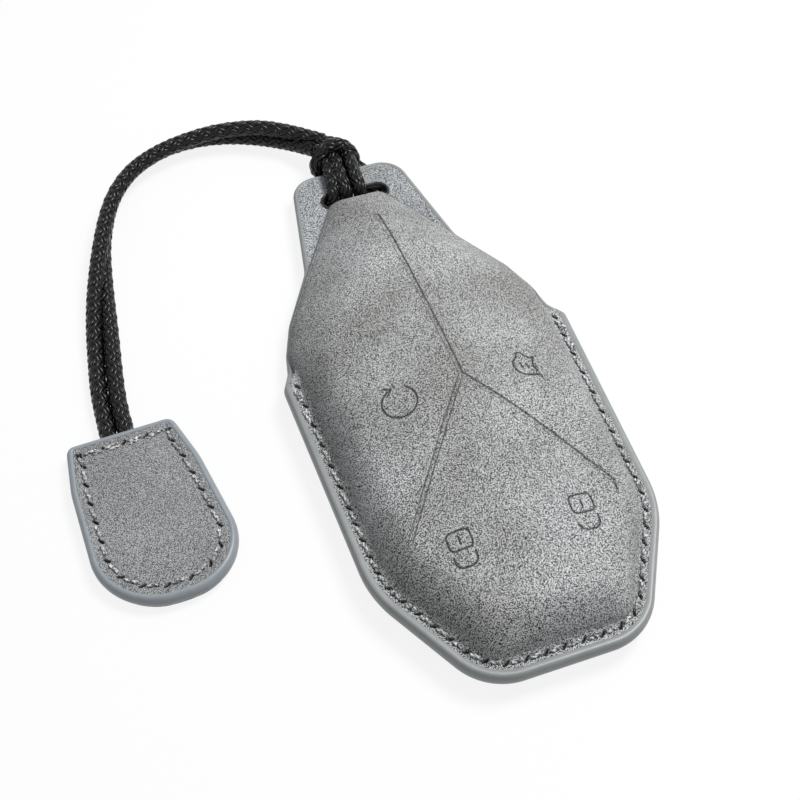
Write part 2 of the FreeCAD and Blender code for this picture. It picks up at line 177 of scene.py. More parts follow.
# Back leather. One piece of nubuck-faced leather from the bottom edge up to the tab, wet moulded
# to a shallow tray behind the key and punched with the lanyard slot.
cover_length = 117.3
half_length = cover_length / 2
cover_corners = [(13.9, 0.1), (25.9, 21.2), (27.65, 64.9), (25.8, 69.2), (24.95, 73.3), (22.5, 80.0),
                 (15.8, 92.1), (11.3, 117.3)]
cover_rounds = [11.0, 20.0, 2.5, 2.5, 6.0, 12.0, 8.0, 5.5]
foot_corners = [(11.4, 4.15), (21.5, 23.8), (23.07, 71.8), (5.8, 106.0)]
leather = 1.0
edge_coat = 0.7
back_level = 3.0
tray_wall = 4.4
tray_margin = 0.6
tray_end_at = 97.0
slot_length = 13.5
slot_height = 4.0
slot_at = 109.0
slot_coat = 0.3
slot_end_share = 0.99
punch_low = -1.0
punch_high = 8.0
tray_round = 3.0
deep_inside = 40.0
back_rows = 170
back_columns = 76
end_crowding = 0.6
TINY = 1e-6


def even_spaced(points, spacing, closed=True):
    """The same line again, as evenly spaced points."""
    if closed:
        points = np.vstack([points, points[:1]])
    along = np.concatenate([[0.0], np.cumsum(np.linalg.norm(np.diff(points, axis=0), axis=1))])
    count = max(round(along[-1] / spacing), 2)
    places = np.linspace(0.0, along[-1], count + 1)
    if closed:
        places = places[:-1]
    return np.column_stack([np.interp(places, along, column) for column in points.T])


def rounded_outline(corners, rounds, spacing=0.4, steps=24):
    """Points (mm) round a closed anticlockwise outline whose corners are arcs."""
    corners = np.array(corners, float)
    points = []
    around = zip(corners, np.roll(corners, 1, 0), np.roll(corners, -1, 0), rounds)
    for here, before, after, radius in around:
        u = (before - here) / np.linalg.norm(before - here)
        v = (after - here) / np.linalg.norm(after - here)
        half_angle = math.acos(np.clip(u @ v, -1, 1)) / 2
        center = here + (u + v) / np.linalg.norm(u + v) * radius / math.sin(half_angle)
        reach = radius / math.tan(half_angle)
        for share in np.linspace(0, 1, steps):
            spoke = (here + u * reach) * (1 - share) + (here + v * reach) * share - center
            points.append(center + spoke * radius / np.linalg.norm(spoke))
    return even_spaced(np.array(points), spacing)


def mirrored_outline(right, rounds):
    """Outline of the cover from the corners of its right half, heights measured from the bottom edge."""
    lowered = [(x, at - half_length) for x, at in right]
    return rounded_outline(lowered + [(-x, y) for x, y in reversed(lowered)], rounds + rounds[::-1])


def way_out(outline):
    """Unit vector out of a closed anticlockwise outline at each of its points."""
    run = np.roll(outline, -1, 0) - np.roll(outline, 1, 0)
    out = np.column_stack([run[:, 1], -run[:, 0]])
    return out / np.linalg.norm(out, axis=1, keepdims=True)


def drawn_in(outline, depth):
    return outline - way_out(outline) * depth


def half_widths(outline):
    """Heights along a symmetrical outline, lowest first, and its half width at each."""
    right = outline[outline[:, 0] >= 0]
    low, high = right[:, 1].min(), right[:, 1].max()
    sides = right[(right[:, 1] > low + TINY) & (right[:, 1] < high - TINY)]
    sides = sides[np.argsort(sides[:, 1])]
    at_low = right[right[:, 1] <= low + TINY, 0].max()
    at_high = right[right[:, 1] >= high - TINY, 0].max()
    heights = np.concatenate([[low], sides[:, 1], [high]])
    return heights, np.concatenate([[at_low], sides[:, 0], [at_high]])


def smooth_step(value, start, end):
    share = np.clip((value - start) / (end - start), 0.0, 1.0)
    return share * share * (3 - 2 * share)


def between(first, second, share):
    return first + (second - first) * share


def at_level(outline, level):
    """Flat points raised to a level."""
    return np.column_stack([outline, np.full(len(outline), level)])


def grid_faces(rows, columns, first=0):
    """Quads of a grid of points, facing up where x runs along a row and y up the rows."""
    corner = first + np.arange(rows)[:, None] * (columns + 1) + np.arange(columns)[None, :]
    quads = np.stack([corner, corner + 1, corner + columns + 2, corner + columns + 1], axis=-1)
    return quads.reshape(-1, 4).tolist()


def grid_rim(rows, columns):
    """Point numbers round the edge of such a grid, anticlockwise."""
    wide = columns + 1
    bottom = list(range(wide))
    right = [row * wide + columns for row in range(1, rows + 1)]
    top = [rows * wide + column for column in range(columns - 1, -1, -1)]
    left = [row * wide for row in range(rows - 1, 0, -1)]
    return bottom + right + top + left


def band_faces(lower, upper):
    """Quads between two closed rings of point numbers, facing out of the upper ring's turn."""
    following = zip(lower, lower[1:] + lower[:1], upper[1:] + upper[:1], upper)
    return [list(quad) for quad in following]


def slices(outline, rows):
    """Places up an outline, closer together at its ends, and the half width at each."""
    heights, halves = half_widths(outline)
    share = np.linspace(0.0, 1.0, rows + 1)
    eased = end_crowding * (1 - np.cos(math.pi * share)) / 2 + (1 - end_crowding) * share
    places = between(heights[0], heights[-1], eased)
    return places, np.interp(places, heights, halves)


def slab_between(outline, bottom, top, rows, columns):
    """Closed slab that fills an outline between two heights, each a function of x and y."""
    places, halves = slices(outline, rows)
    x = halves[:, None] * np.linspace(-1.0, 1.0, columns + 1)[None, :]
    y = np.repeat(places[:, None], columns + 1, axis=1)
    upper = np.column_stack([x.ravel(), y.ravel(), top(x, y).ravel()])
    lower = np.column_stack([x.ravel(), y.ravel(), bottom(x, y).ravel()])
    count = len(upper)
    rim = grid_rim(rows, columns)
    faces = grid_faces(rows, columns)
    faces += [face[::-1] for face in grid_faces(rows, columns, count)]
    faces += band_faces([count + i for i in rim], rim)
    return np.vstack([upper, lower]), faces


def new_mesh(name, points, faces):
    """Mesh from points in millimetres."""
    mesh = bpy.data.meshes.new(name)
    mesh.from_pydata((np.asarray(points) * MM).tolist(), [], faces)
    return mesh


def shown_piece(name, mesh, finish, sharp=40.0):
    """New object with a smooth mesh, sharp only where its faces meet at more than an angle."""
    mesh.materials.clear()
    mesh.materials.append(finish)
    mesh.shade_smooth()
    mesh.set_sharp_from_angle(angle=math.radians(sharp))
    return add_object(name, mesh)


def mesh_piece(name, shape, finish):
    """New object from a shape, which is its points in millimetres and its faces."""
    return shown_piece(name, new_mesh(name, *shape), finish)


def fit(piece, body, slot, *nodes):
    """The piece moves with a body and stands for its CAD nodes. The slot is not used."""
    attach(piece, body)
    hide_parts(*nodes)


def evaluated_mesh(piece):
    """Plain mesh of an object with its modifiers worked in."""
    bpy.context.view_layer.update()
    graph = bpy.context.evaluated_depsgraph_get()
    return bpy.data.meshes.new_from_object(piece.evaluated_get(graph), depsgraph=graph)


def discard(piece):
    """Remove a working object and its mesh."""
    mesh = piece.data
    bpy.data.objects.remove(piece)
    bpy.data.meshes.remove(mesh)


def punched(piece, hole):
    """Cut a hole with a straight punch out of a piece."""
    count = len(hole)
    rings = [list(range(count)), list(range(count, 2 * count))]
    faces = [rings[0][::-1], rings[1]] + band_faces(*rings)
    finish = piece.data.materials[0]
    points = np.vstack([at_level(hole, punch_low), at_level(hole, punch_high)])
    punch = mesh_piece("punch", (points, faces), finish)
    cut = piece.modifiers.new("punch", "BOOLEAN")
    cut.operation = "DIFFERENCE"
    cut.solver = "EXACT"
    cut.object = punch
    mesh = evaluated_mesh(piece)
    name = piece.name
    discard(piece)
    discard(punch)
    return shown_piece(name, mesh, finish)


def slot_outline(grow):
    """The slot's long hole with half-round ends, grown by an allowance."""
    radius = slot_height / 2 + grow
    straight = slot_length / 2 - slot_height / 2 + radius
    level = slot_at - half_length
    corners = [(straight, level - radius), (straight, level + radius),
               (-straight, level + radius), (-straight, level - radius)]
    return rounded_outline(corners, [radius * slot_end_share] * 4, spacing=0.25)


def inside_depth(x, y, corners):
    """How far points lie inside the moulded tray, rounded where two sides meet."""
    depth = np.full(np.shape(x), deep_inside)
    points = [(px, at - half_length) for px, at in corners]
    points += [(-px, py) for px, py in reversed(points)]
    for a, b in zip(points, points[1:] + points[:1]):
        run = np.subtract(b, a) / np.linalg.norm(np.subtract(b, a))
        side = (y - a[1]) * run[0] - (x - a[0]) * run[1]
        gap = np.clip(0.5 + 0.5 * (side - depth) / tray_round, 0.0, 1.0)
        depth = side * (1 - gap) + depth * gap - tray_round * gap * (1 - gap)
    return depth


def tray_level(x, y):
    """Underside of the back leather: flat round the seam, sunk to the table behind the key."""
    (lip_half, lip_at), (nose_half, nose_at) = foot_corners[2:]
    end_half = lip_half - (lip_half - nose_half) * (tray_end_at - lip_at) / (nose_at - lip_at)
    depth = inside_depth(x, y, foot_corners[:3] + [(end_half, tray_end_at)])
    return back_level * (1 - smooth_step(depth, tray_margin, tray_margin + tray_wall))


def add_vector(tree, operation, first, second=(0.0, 0.0, 0.0)):
    return add_node(tree, "ShaderNodeVectorMath", {0: first, 1: second}, operation=operation).outputs[0]


def new_finish(name):
    """New material, its node tree and the place on the piece, which its patterns follow."""
    material = bpy.data.materials.new(name)
    material.use_nodes = True
    tree = material.node_tree
    return material, tree, add_node(tree, "ShaderNodeTexCoord").outputs["Object"]


def add_noise(tree, place, scale, detail, roughness=0.5, distortion=0.0):
    node = add_node(tree, "ShaderNodeTexNoise", {
        "Vector": place, "Scale": scale, "Detail": detail, "Roughness": roughness, "Distortion": distortion})
    return node.outputs["Fac"]


def add_bump(tree, height, strength, distance):
    node = add_node(
        tree, "ShaderNodeBump", {"Strength": strength, "Distance": distance * MM, "Height": height})
    return node.outputs[0]


def mixed_colour(tree, share, first, second):
    return add_node(tree, "ShaderNodeMix", {0: share, 6: first, 7: second}, data_type="RGBA").outputs[2]


def set_shader(tree, inputs):
    set_inputs(tree, tree.nodes["Principled BSDF"], inputs)


def leather_finish(name, pale, dark, mottle, grain=0.165):
    """Nubuck-faced leather: fine dark pores in a pale nap, warm dull clouds, and the marks' dark tint,
    partly from pressing and partly painted shade.
    """
    material, tree, place = new_finish(name)
    leaning = add_node(
        tree, "ShaderNodeVectorRotate", {"Vector": place, "Rotation": (0.65, 0.5, 0.3)},
        rotation_type="EULER_XYZ").outputs[0]
    nap = add_noise(tree, leaning, 1 / (grain * MM), detail=0.0, distortion=0.2)
    tone = add_node(tree, "ShaderNodeValToRGB", {"Fac": nap})
    for stop, position, colour in zip(tone.color_ramp.elements, (0.45, 0.54), (dark, pale)):
        stop.position = position
        stop.color = (*colour, 1.0)
    clouds = add_range(tree, add_noise(tree, place, 70.0, detail=1.0), 0.0, 1.0, start=0.32, end=0.68)
    warm_dull = (1 - mottle, 1 - 1.06 * mottle, 1 - 1.2 * mottle, 1.0)
    bright = (1 + mottle, 1 + mottle, 1 + mottle, 1.0)
    cast = mixed_colour(tree, clouds, warm_dull, bright)
    clouded = add_vector(tree, "MULTIPLY", tone.outputs["Color"], cast)
    # The marks' dark tint: darker pressed leather, and painted shade in the grooves, needle holes and round
    # the dome's foot.
    press_and_shade_tint = add_node(tree, "ShaderNodeAttribute", attribute_name="press_and_shade_tint").outputs["Fac"]
    set_shader(tree, {
        "Base Color": mixed_colour(tree, press_and_shade_tint, clouded, (0.014, 0.014, 0.015, 1.0)),
        "Normal": add_bump(tree, nap, strength=0.4, distance=0.05),
        "Roughness": add_range(tree, nap, 0.92, 0.68),
        "Specular IOR Level": 0.25})
    return material


cover_outline = mirrored_outline(cover_corners, cover_rounds)
back_outline = drawn_in(cover_outline, edge_coat)


def slotted_ply(name, under, top, finish):
    """A ply over the whole back, between two levels, with the slot punched through it."""
    ply = mesh_piece(name, slab_between(back_outline, under, top, back_rows, back_columns), finish)
    return punched(ply, slot_outline(slot_coat))


back_finish = leather_finish(
    "back_leather", pale=(0.57, 0.575, 0.57), dark=(0.04, 0.041, 0.041), mottle=0.16)
back = slotted_ply("back_leather", tray_level, lambda x, y: tray_level(x, y) + leather, back_finish)
fit(back, "pouch", "back_leather", "back_panel")

# Inner ply. A thinner ply of the same leather glued inside the back: it faces the key in the
# pocket and shows as the front of the tab, round the slot and up both sides of the dome.
inner_ply = 0.4
ply_glue = 0.02
tab_finish = leather_finish(
    "tab_leather", pale=(0.54, 0.56, 0.577), dark=(0.04, 0.043, 0.046), mottle=0.12)
ply = slotted_ply(
    "tab_leather", lambda x, y: tray_level(x, y) + leather + ply_glue,
    lambda x, y: tray_level(x, y) + leather + inner_ply, tab_finish)
fit(ply, "pouch", "tab_leather", "back_lining")

# Painted edge. The cut edges of the glued plies are sanded round and built up with several coats
# of thick grey edge paint, in one bead from the bottom of the seam round to the tab.
seam_level = back_level + leather + inner_ply
front_level = seam_level + inner_ply + leather
lip_start_at = 64.6
lip_end_at = 69.6
seam_overlap = 1.05
tab_overlap = 0.35
paint_proud = 0.14
nose_steps = 15
skirt_shares = np.array([[0.35, 0.7, 1.0]])
skirt_sink = 0.1


def edge_paint_finish(name, colour, shade):
    """Smooth, slightly uneven edge paint, darker in broad random patches and with fine specks in its gloss.
    """
    material, tree, place = new_finish(name)
    flow = add_noise(tree, place, 420.0, detail=2.0)
    specks = add_noise(tree, place, 2600.0, detail=2.0, roughness=0.6)
    uneven = add_math(tree, "MULTIPLY_ADD", specks, 0.15, flow)
    set_shader(tree, {
        "Base Color": mixed_colour(tree, flow, (*shade, 1.0), (*colour, 1.0)),
        "Roughness": add_range(tree, specks, 0.3, 0.46),
        "Normal": add_bump(tree, uneven, strength=0.35, distance=0.12)})
    return material


def bead_section(low, high, coat, overlap, proud):
    """Rounded section of the painted edge at each point: out from the outline and up, underside first."""
    turn = np.radians(np.linspace(-90.0, 90.0, nose_steps))[None, :]
    at_points = np.broadcast_arrays(*np.atleast_1d(low, high, overlap))
    low, high, overlap = (value[:, None] for value in at_points)
    middle, half = (low + high) / 2, (high - low) / 2 + proud
    nose_out = coat * (np.cos(turn) - 1) + 0 * half
    nose_up = middle + half * np.sin(turn)
    skirt_out = -coat - overlap * skirt_shares
    sink = (proud + skirt_sink) * skirt_shares ** 2
    out = np.hstack([skirt_out[:, ::-1], nose_out, skirt_out])
    up = np.hstack([(low - proud + sink)[:, ::-1], nose_up, high + proud - sink])
    return out, up


def swept_bead(outline, section):
    """Closed bead that carries a section round a closed outline."""
    out, up = (np.broadcast_to(part, (len(outline), part.shape[1])) for part in section)
    count, wide = out.shape
    flat = outline[:, None, :] + way_out(outline)[:, None, :] * out[:, :, None]
    points = np.concatenate([flat, up[:, :, None]], axis=2).reshape(-1, 3)
    faces = []
    for i in range(count):
        here, there = i * wide, (i + 1) % count * wide
        for j in range(wide):
            k = (j + 1) % wide
            faces.append((here + j, there + j, there + k, here + k))
    return points, faces


def lip_share(y):
    """0 along the sewn edge and 1 above the shoulders, where the front is free."""
    return smooth_step(y + half_length, lip_start_at, lip_end_at)


edge_finish = edge_paint_finish("edge_paint", colour=(0.3, 0.316, 0.312), shade=(0.23, 0.244, 0.241))
free_edge = lip_share(cover_outline[:, 1])
bead_top = between(front_level, seam_level, free_edge)
bead_overlap = between(seam_overlap, tab_overlap, free_edge)
bead_parts = bead_section(back_level, bead_top, edge_coat, bead_overlap, paint_proud)
bead = mesh_piece("painted_edge", swept_bead(cover_outline, bead_parts), edge_finish)
fit(bead, "pouch", "edge_paint", "seam_edge_coat", "tab_edge_coat")

# Slot rim. The slot's cut edge is sealed with the same kind of paint in gloss black, which
# stands a little proud of the leather on both sides.
rim_coat = 0.5
rim_overlap = 0.35
rim_proud = 0.3
rim_finish = edge_paint_finish("slot_paint", colour=(0.02, 0.02, 0.022), shade=(0.012, 0.012, 0.013))
rim_out, rim_up = bead_section(back_level, seam_level, rim_coat, rim_overlap, rim_proud)
rim_shape = swept_bead(slot_outline(slot_coat)[::-1], (rim_out + rim_coat, rim_up))
rim = mesh_piece("slot_rim", rim_shape, rim_finish)
fit(rim, "pouch", "edge_paint", "slot_edge_coat")

# Moulded front. One piece of nubuck-faced leather, wet moulded over the key's shape. Its flat edge
# is sewn to the back below the shoulders; above them it is a free lip that lifts for the key.
# A forked line and the button signs are pressed into it while it is damp.
dome_corners = [(11.6, 3.5), (22.4, 22.0), (24.2, 72.3), (21.3, 80.2), (5.2, 107.5)]
dome_rounds = [4.0, 20.0, 6.0, 12.0, 3.0]
crown_height = 12.0
crown_at = 50.0
crown_power = 1.5
foot_crown = 6.2
foot_crown_at = 8.0
nose_crown = 6.05
camber = 0.55
sewn_wall = 4.8
free_wall = 14.0
sewn_power = 1.9
free_power = 1.5
wall_change = (60.0, 88.0)
crease_fillet = 0.7
fillet_reach = 1.0
edge_tuck = 0.05
lip_level = 5.2
lip_edge_low = 4.62
lip_edge_depth = 0.4
lip_overhang = 0.3
front_rows = 130
front_columns = 96
edge_shares = [0.05, 0.12, 0.21, 0.32, 0.45, 0.6, 0.75, 0.88, 1.0]
closeness_power = 6
closest_gap = 0.2
even_from = (0.6, 1.6)
points_at_once = 2000
ON_FLAT = 1.0
ON_RISE = 2.0
rise_slack = 0.01


def segment_gap(points, a, b):
    """Distance of each point from its own segment a-b."""
    run = b - a
    share = np.clip(((points - a) * run).sum(axis=1) / (run * run).sum(axis=1), 0.0, 1.0)
    return np.linalg.norm(points - a - run * share[:, None], axis=1)


def depth_inside(x, y, outline):
    """Distance in from an outline, exact beside it and with no ridges further in."""
    points = np.column_stack([np.ravel(x), np.ravel(y)])
    step = np.linalg.norm(np.roll(outline, -1, 0) - outline, axis=1)
    nearest, even = np.empty(len(points)), np.empty(len(points))
    full_line = 3 * math.pi / 8
    for part in np.array_split(np.arange(len(points)), len(points) // points_at_once + 1):
        here = points[part]
        gaps = np.linalg.norm(here[:, None, :] - outline[None, :, :], axis=2)
        close = gaps.argmin(axis=1)
        before, after = outline[close - 1], outline[(close + 1) % len(outline)]
        nearest[part] = np.minimum(
            segment_gap(here, before, outline[close]), segment_gap(here, outline[close], after))
        closeness = (step * np.maximum(gaps, closest_gap) ** -closeness_power).sum(axis=1) / full_line
        even[part] = closeness ** (-1 / (closeness_power - 1))
    share = smooth_step(nearest, *even_from)
    return between(nearest, even, share).reshape(np.shape(x))


def crown(at):
    """Height of the dome's middle line above the flat edge, before its sides round over."""
    drop = smooth_step(crown_at - at, 0.0, crown_at - foot_crown_at)
    nose_at = dome_corners[-1][1]
    reach = np.clip(at - crown_at, 0.0, None) / (nose_at - crown_at)
    lower = between(crown_height, foot_crown, drop)
    upper = between(crown_height, nose_crown, reach ** crown_power)
    return np.where(at < crown_at, lower, upper)


def edge_level(y):
    """Level of the front's flat edge, which drops to the back at the free lip."""
    return between(front_level, lip_level, lip_share(y))


foot_outline = mirrored_outline(dome_corners, dome_rounds)
front_edge_outline = drawn_in(cover_outline, edge_coat + edge_tuck)


def crease(y):
    """Height of the small round where the dome meets the sewn edge."""
    return crease_fillet * (1 - lip_share(y))


def dome_level(x, y, inset, outline):
    """The dome over its foot: a cambered top with steep sides where it is sewn, gentle ones at the lip."""
    at = y + half_length
    change = smooth_step(at, *wall_change)
    wall = between(sewn_wall, free_wall, change)
    power = between(sewn_power, free_power, change)
    share = np.clip(depth_inside(x, y, outline) / wall, 0.0, 1.0)
    rise = (1 - (1 - share) ** power) ** (1 / power)
    top = crown(at) * (1 - camber * (x / dome_corners[2][0]) ** 2) - inset
    base = edge_level(y)
    height = (top + front_level - base) * rise
    fillet = 0.0 if inset else crease(y)
    return base + (height ** 3 + fillet ** 3) ** (1 / 3)


def dome_grid(inset):
    """Rows of points over the dome, drawn in by an inset."""
    outline = drawn_in(foot_outline, inset) if inset else foot_outline
    places, halves = slices(outline, front_rows)
    turn = np.radians(np.linspace(-90.0, 90.0, front_columns + 1))
    x = halves[:, None] * np.sin(turn)[None, :]
    y = np.repeat(places[:, None], front_columns + 1, axis=1)
    return np.column_stack([x.ravel(), y.ravel(), dome_level(x, y, inset, outline).ravel()])


def front_face(inset, drop):
    """One face of the front: the dome, then rings out over the flat edge, which lies a drop lower."""
    dome = dome_grid(inset)
    rim = grid_rim(front_rows, front_columns)
    foot = dome[rim, :2]
    gaps = np.linalg.norm(foot[:, None, :] - front_edge_outline[None, :, :], axis=2)
    to_edge = front_edge_outline[gaps.argmin(axis=1)] - foot
    free = lip_share(foot[:, 1])[:, None]
    lip = way_out(foot) * (lip_overhang + inset)
    reach = to_edge * (1 - free) + lip * free
    width = np.linalg.norm(reach, axis=1)
    points, faces = [dome], grid_faces(front_rows, front_columns)
    last = rim
    for share in edge_shares:
        flat = foot + reach * share
        fall = (lip_level - lip_edge_depth - lip_edge_low) * share ** 2
        level = edge_level(foot[:, 1]) - free[:, 0] * fall
        level = np.maximum(level - drop, np.where(free[:, 0] > 0, lip_edge_low, 0.0))
        if not inset:
            level += crease(foot[:, 1]) * np.clip(1 - width * share / fillet_reach, 0.0, 1.0) ** 2
        start = sum(len(block) for block in points)
        points.append(np.column_stack([flat, level]))
        ring = list(range(start, start + len(rim)))
        faces += band_faces(ring, last)
        last = ring
    return np.vstack(points), faces, last


def front_ply(inset, drop, thickness):
    """Closed ply between two faces of the front, and which of its points lie on the outer face."""
    outer, outer_faces, outer_rim = front_face(inset, drop)
    under, under_faces, under_rim = front_face(inset + thickness, drop + thickness)
    count = len(outer)
    faces = outer_faces + [[count + i for i in face[::-1]] for face in under_faces]
    faces += band_faces([count + i for i in under_rim], outer_rim)
    shown = np.zeros(count + len(under))
    shown[:count] = ON_FLAT
    shown[:(front_rows + 1) * (front_columns + 1)] = ON_RISE
    return (np.vstack([outer, under]), faces), shown


# Marks pressed into the front, each a group of broken lines with the width, depth and tint of its groove.
# The first has no depth: it is painted shade on the dome's wall along its foot, at the bottom and lower
# left.
fork_place = (0.0, 49.3 - half_length)
spine_top = (0.0, 94.6 - half_length)
arm_end = (17.7, 24.7 - half_length)
hook_end = (17.65, 23.2 - half_length)
upper_signs = (11.4, 48.1 - half_length)
lower_signs = (10.5, 20.2 - half_length)
lock_half_width = 1.95
lock_half_height = 1.55
lock_round = 0.8
lock_shift = 1.7
shackle_half = 1.85
shackle_start = 0.9
shackle_opening = 0.9
shackle_reach = 3.0
shackle_bend = 1.1
# Painted shade: a dark tint with no depth on the dome's wall along its foot, at the bottom and lower left.
painted_shade_inset = 3.0
painted_shade_top_at = 30.0
painted_shade_right = 9.0
painted_shade_tint = 0.26


def turned(center, line):
    """A sign's line, which reads the right way up with the tab hanging down."""
    return [(center[0] - x, center[1] - y) for x, y in line]


def arc_line(radius, first, last, steps=24):
    turn = np.radians(np.linspace(first, last, steps + 1))
    return list(zip(radius * np.cos(turn), radius * np.sin(turn)))


def arrow_sign(center):
    ring = arc_line(3.0, -81.0, 232.0)
    head = [(1.9, -3.65), (0.47, -2.96), (1.6, -1.87)]
    return [turned(center, ring), turned(center, head)]


def car_sign(center):
    """A small car with its boot lid up and two bars on its side."""
    roof = [(-0.8, 2.35), (-0.65, 3.2), (0.25, 3.2), (0.7, 2.35), (1.6, 1.85), (2.3, 1.9)]
    body = [(-0.8, 2.35), (-1.8, 1.5), (-2.05, 0.45), (-1.75, -0.8), (-0.9, -1.5), (0.2, -1.75),
            (2.05, -1.95), (2.1, -2.5)]
    lid = [(2.0, 1.6), (1.65, 0.75), (1.5, 0.0), (1.8, -1.1)]
    bars = [[(-0.7, 0.9), (-0.5, -0.1)], [(0.3, 0.7), (0.5, -0.3)]]
    return [[(center[0] + x, center[1] + y) for x, y in line] for line in (roof, body, lid, *bars)]


def lock_sign(center, opened):
    """A padlock: a rounded case with its keyhole, and a shackle that one side may leave."""
    w, h, s = lock_half_width, lock_half_height, shackle_half
    case = rounded_outline([(-w, -h), (w, -h), (w, h), (-w, h)], [lock_round] * 4)
    case = [tuple(point) for point in case] + [tuple(case[0])]
    start, top, bend = h + shackle_start, h + shackle_reach, shackle_bend
    shackle = [
        (s, start + (shackle_opening if opened else 0.0)), (s, top - bend), (s - bend / 3, top - bend / 3),
        (s - bend, top), (bend - s, top), (bend / 3 - s, top - bend / 3), (-s, top - bend), (-s, start)]
    keyhole = [(0.0, -0.5), (0.0, 0.6)]
    middle = (center[0], center[1] + lock_shift)
    return [turned(middle, line) for line in (case, shackle, keyhole)]


seam_inset = 2.45
seam_top_at = 64.6
pitch_change_at = 37.0
lower_pitch = 3.2
side_pitch = 4.4
hole_length = 1.5
hole_width = 0.6
hole_slant = math.radians(36.0)
split_passes = 7
finest_share = 0.65
coarsening = 0.45
floor_from, floor_to = 1.6, 0.8


def seam_holes():
    """Needle holes in order from one shoulder round the bottom to the other."""
    row = drawn_in(cover_outline, seam_inset)
    bottom = np.argmin(np.where(row[:, 1] < 0, np.abs(row[:, 0]), np.inf))
    right = np.roll(row, -bottom, axis=0)
    right = right[:np.argmax(right[:, 1] > seam_top_at - half_length)]
    change = np.argmax(right[:, 1] > pitch_change_at - half_length)
    lower = even_spaced(right[:change + 1], lower_pitch, closed=False)
    upper = even_spaced(right[change:], side_pitch, closed=False)
    right = np.vstack([lower, upper[1:]])
    left = right[:0:-1] * (-1, 1)
    return np.vstack([left, right])


def needle_slits(holes):
    """Short slanted slits that the needle leaves at each hole of a row."""
    run = np.gradient(holes, axis=0)
    angle = np.arctan2(run[:, 1], run[:, 0]) + hole_slant
    half = np.column_stack([np.cos(angle), np.sin(angle)]) * (hole_length - hole_width) / 2
    return [[tuple(a), tuple(b)] for a, b in zip(holes - half, holes + half)]


def line_gap(x, y, lines):
    """Distance of points from the nearest of several broken lines."""
    gap = np.full(np.shape(x), np.inf)
    for line in lines:
        for a, b in zip(line, line[1:]):
            run = np.subtract(b, a)
            share = np.clip(((x - a[0]) * run[0] + (y - a[1]) * run[1]) / (run @ run), 0.0, 1.0)
            gap = np.minimum(gap, np.hypot(x - a[0] - run[0] * share, y - a[1] - run[1] * share))
    return gap


def finer_near(mesh, marks):
    """Split the outer face's edges beside the sunk marks and the painted shade until they are short enough
    to show them.
    """
    work = bmesh.new()
    work.from_mesh(mesh)
    shown = work.verts.layers.float["shown"]
    for _ in range(split_passes):
        work.edges.ensure_lookup_table()
        ends = np.array([[vertex.co[:2] for vertex in edge.verts] for edge in work.edges]) / MM
        outer = np.array([min(vertex[shown] for vertex in edge.verts) for edge in work.edges]) > ON_FLAT / 2
        length = np.linalg.norm(ends[:, 1] - ends[:, 0], axis=1)
        x, y = ends.mean(axis=1).T
        wanted = np.full(len(length), np.inf)
        for mark in marks:
            beside = np.maximum(line_gap(x, y, mark["lines"]) - mark["width"] / 2, 0.0)
            wanted = np.minimum(wanted, finest_share * mark["wall"] + coarsening * beside)
        long = np.flatnonzero(outer & (length > wanted))
        if not len(long):
            break
        bmesh.ops.subdivide_edges(
            work, edges=[work.edges[i] for i in long], cuts=1, use_grid_fill=True, use_single_edge=True)
    work.to_mesh(mesh)
    work.free()


def pressed_piece(name, shape, shown, marks, level_at, finish):
    """New object with marks sunk into its outer face, whose points follow a level, and with their dark tint,
    partly painted shade.
    """
    mesh = new_mesh(name, *shape)
    mesh.attributes.new("shown", "FLOAT", "POINT").data.foreach_set("value", shown)
    finer_near(mesh, marks)
    count = len(mesh.vertices)
    place, outer = np.empty(count * 3), np.empty(count)
    mesh.vertices.foreach_get("co", place)
    mesh.attributes["shown"].data.foreach_get("value", outer)
    place = place.reshape(-1, 3) / MM
    rise = outer > ON_RISE - rise_slack
    place[rise, 2] = level_at(place[rise, 0], place[rise, 1])
    # Dark tint of the marks: partly pressed leather, partly painted shade on groove walls, in needle holes
    # and, for the mark with no depth, round the dome's foot.
    mark_tint_and_shade = np.zeros(count)
    face = np.flatnonzero(outer > ON_FLAT / 2)
    x, y = place[face, 0], place[face, 1]
    for mark in marks:
        gap, half, wall = line_gap(x, y, mark["lines"]), mark["width"] / 2, mark["wall"]
        sunk = 1 - smooth_step(gap, half - wall, half)
        floor = 1 - smooth_step(gap, half - floor_from * wall, half - floor_to * wall)
        place[face, 2] -= mark["depth"] * sunk
        mark_tint_and_shade[face] = np.maximum(mark_tint_and_shade[face], sunk * between(mark["edge"], mark["floor"], floor))
    mesh.vertices.foreach_set("co", (place * MM).ravel())
    mesh.attributes.remove(mesh.attributes["shown"])
    mesh.attributes.new("press_and_shade_tint", "FLOAT", "POINT").data.foreach_set("value", mark_tint_and_shade)
    mesh.update()
    return shown_piece(name, mesh, finish)


arms = [[fork_place, (side * arm_end[0], arm_end[1])] for side in (-1, 1)]
left_signs = arrow_sign((-upper_signs[0], upper_signs[1]))
left_signs += lock_sign((-lower_signs[0], lower_signs[1]), False)
right_signs = car_sign(upper_signs) + lock_sign(lower_signs, True)
signs = left_signs + right_signs + [[arm_end, hook_end]]
seam_row = seam_holes()
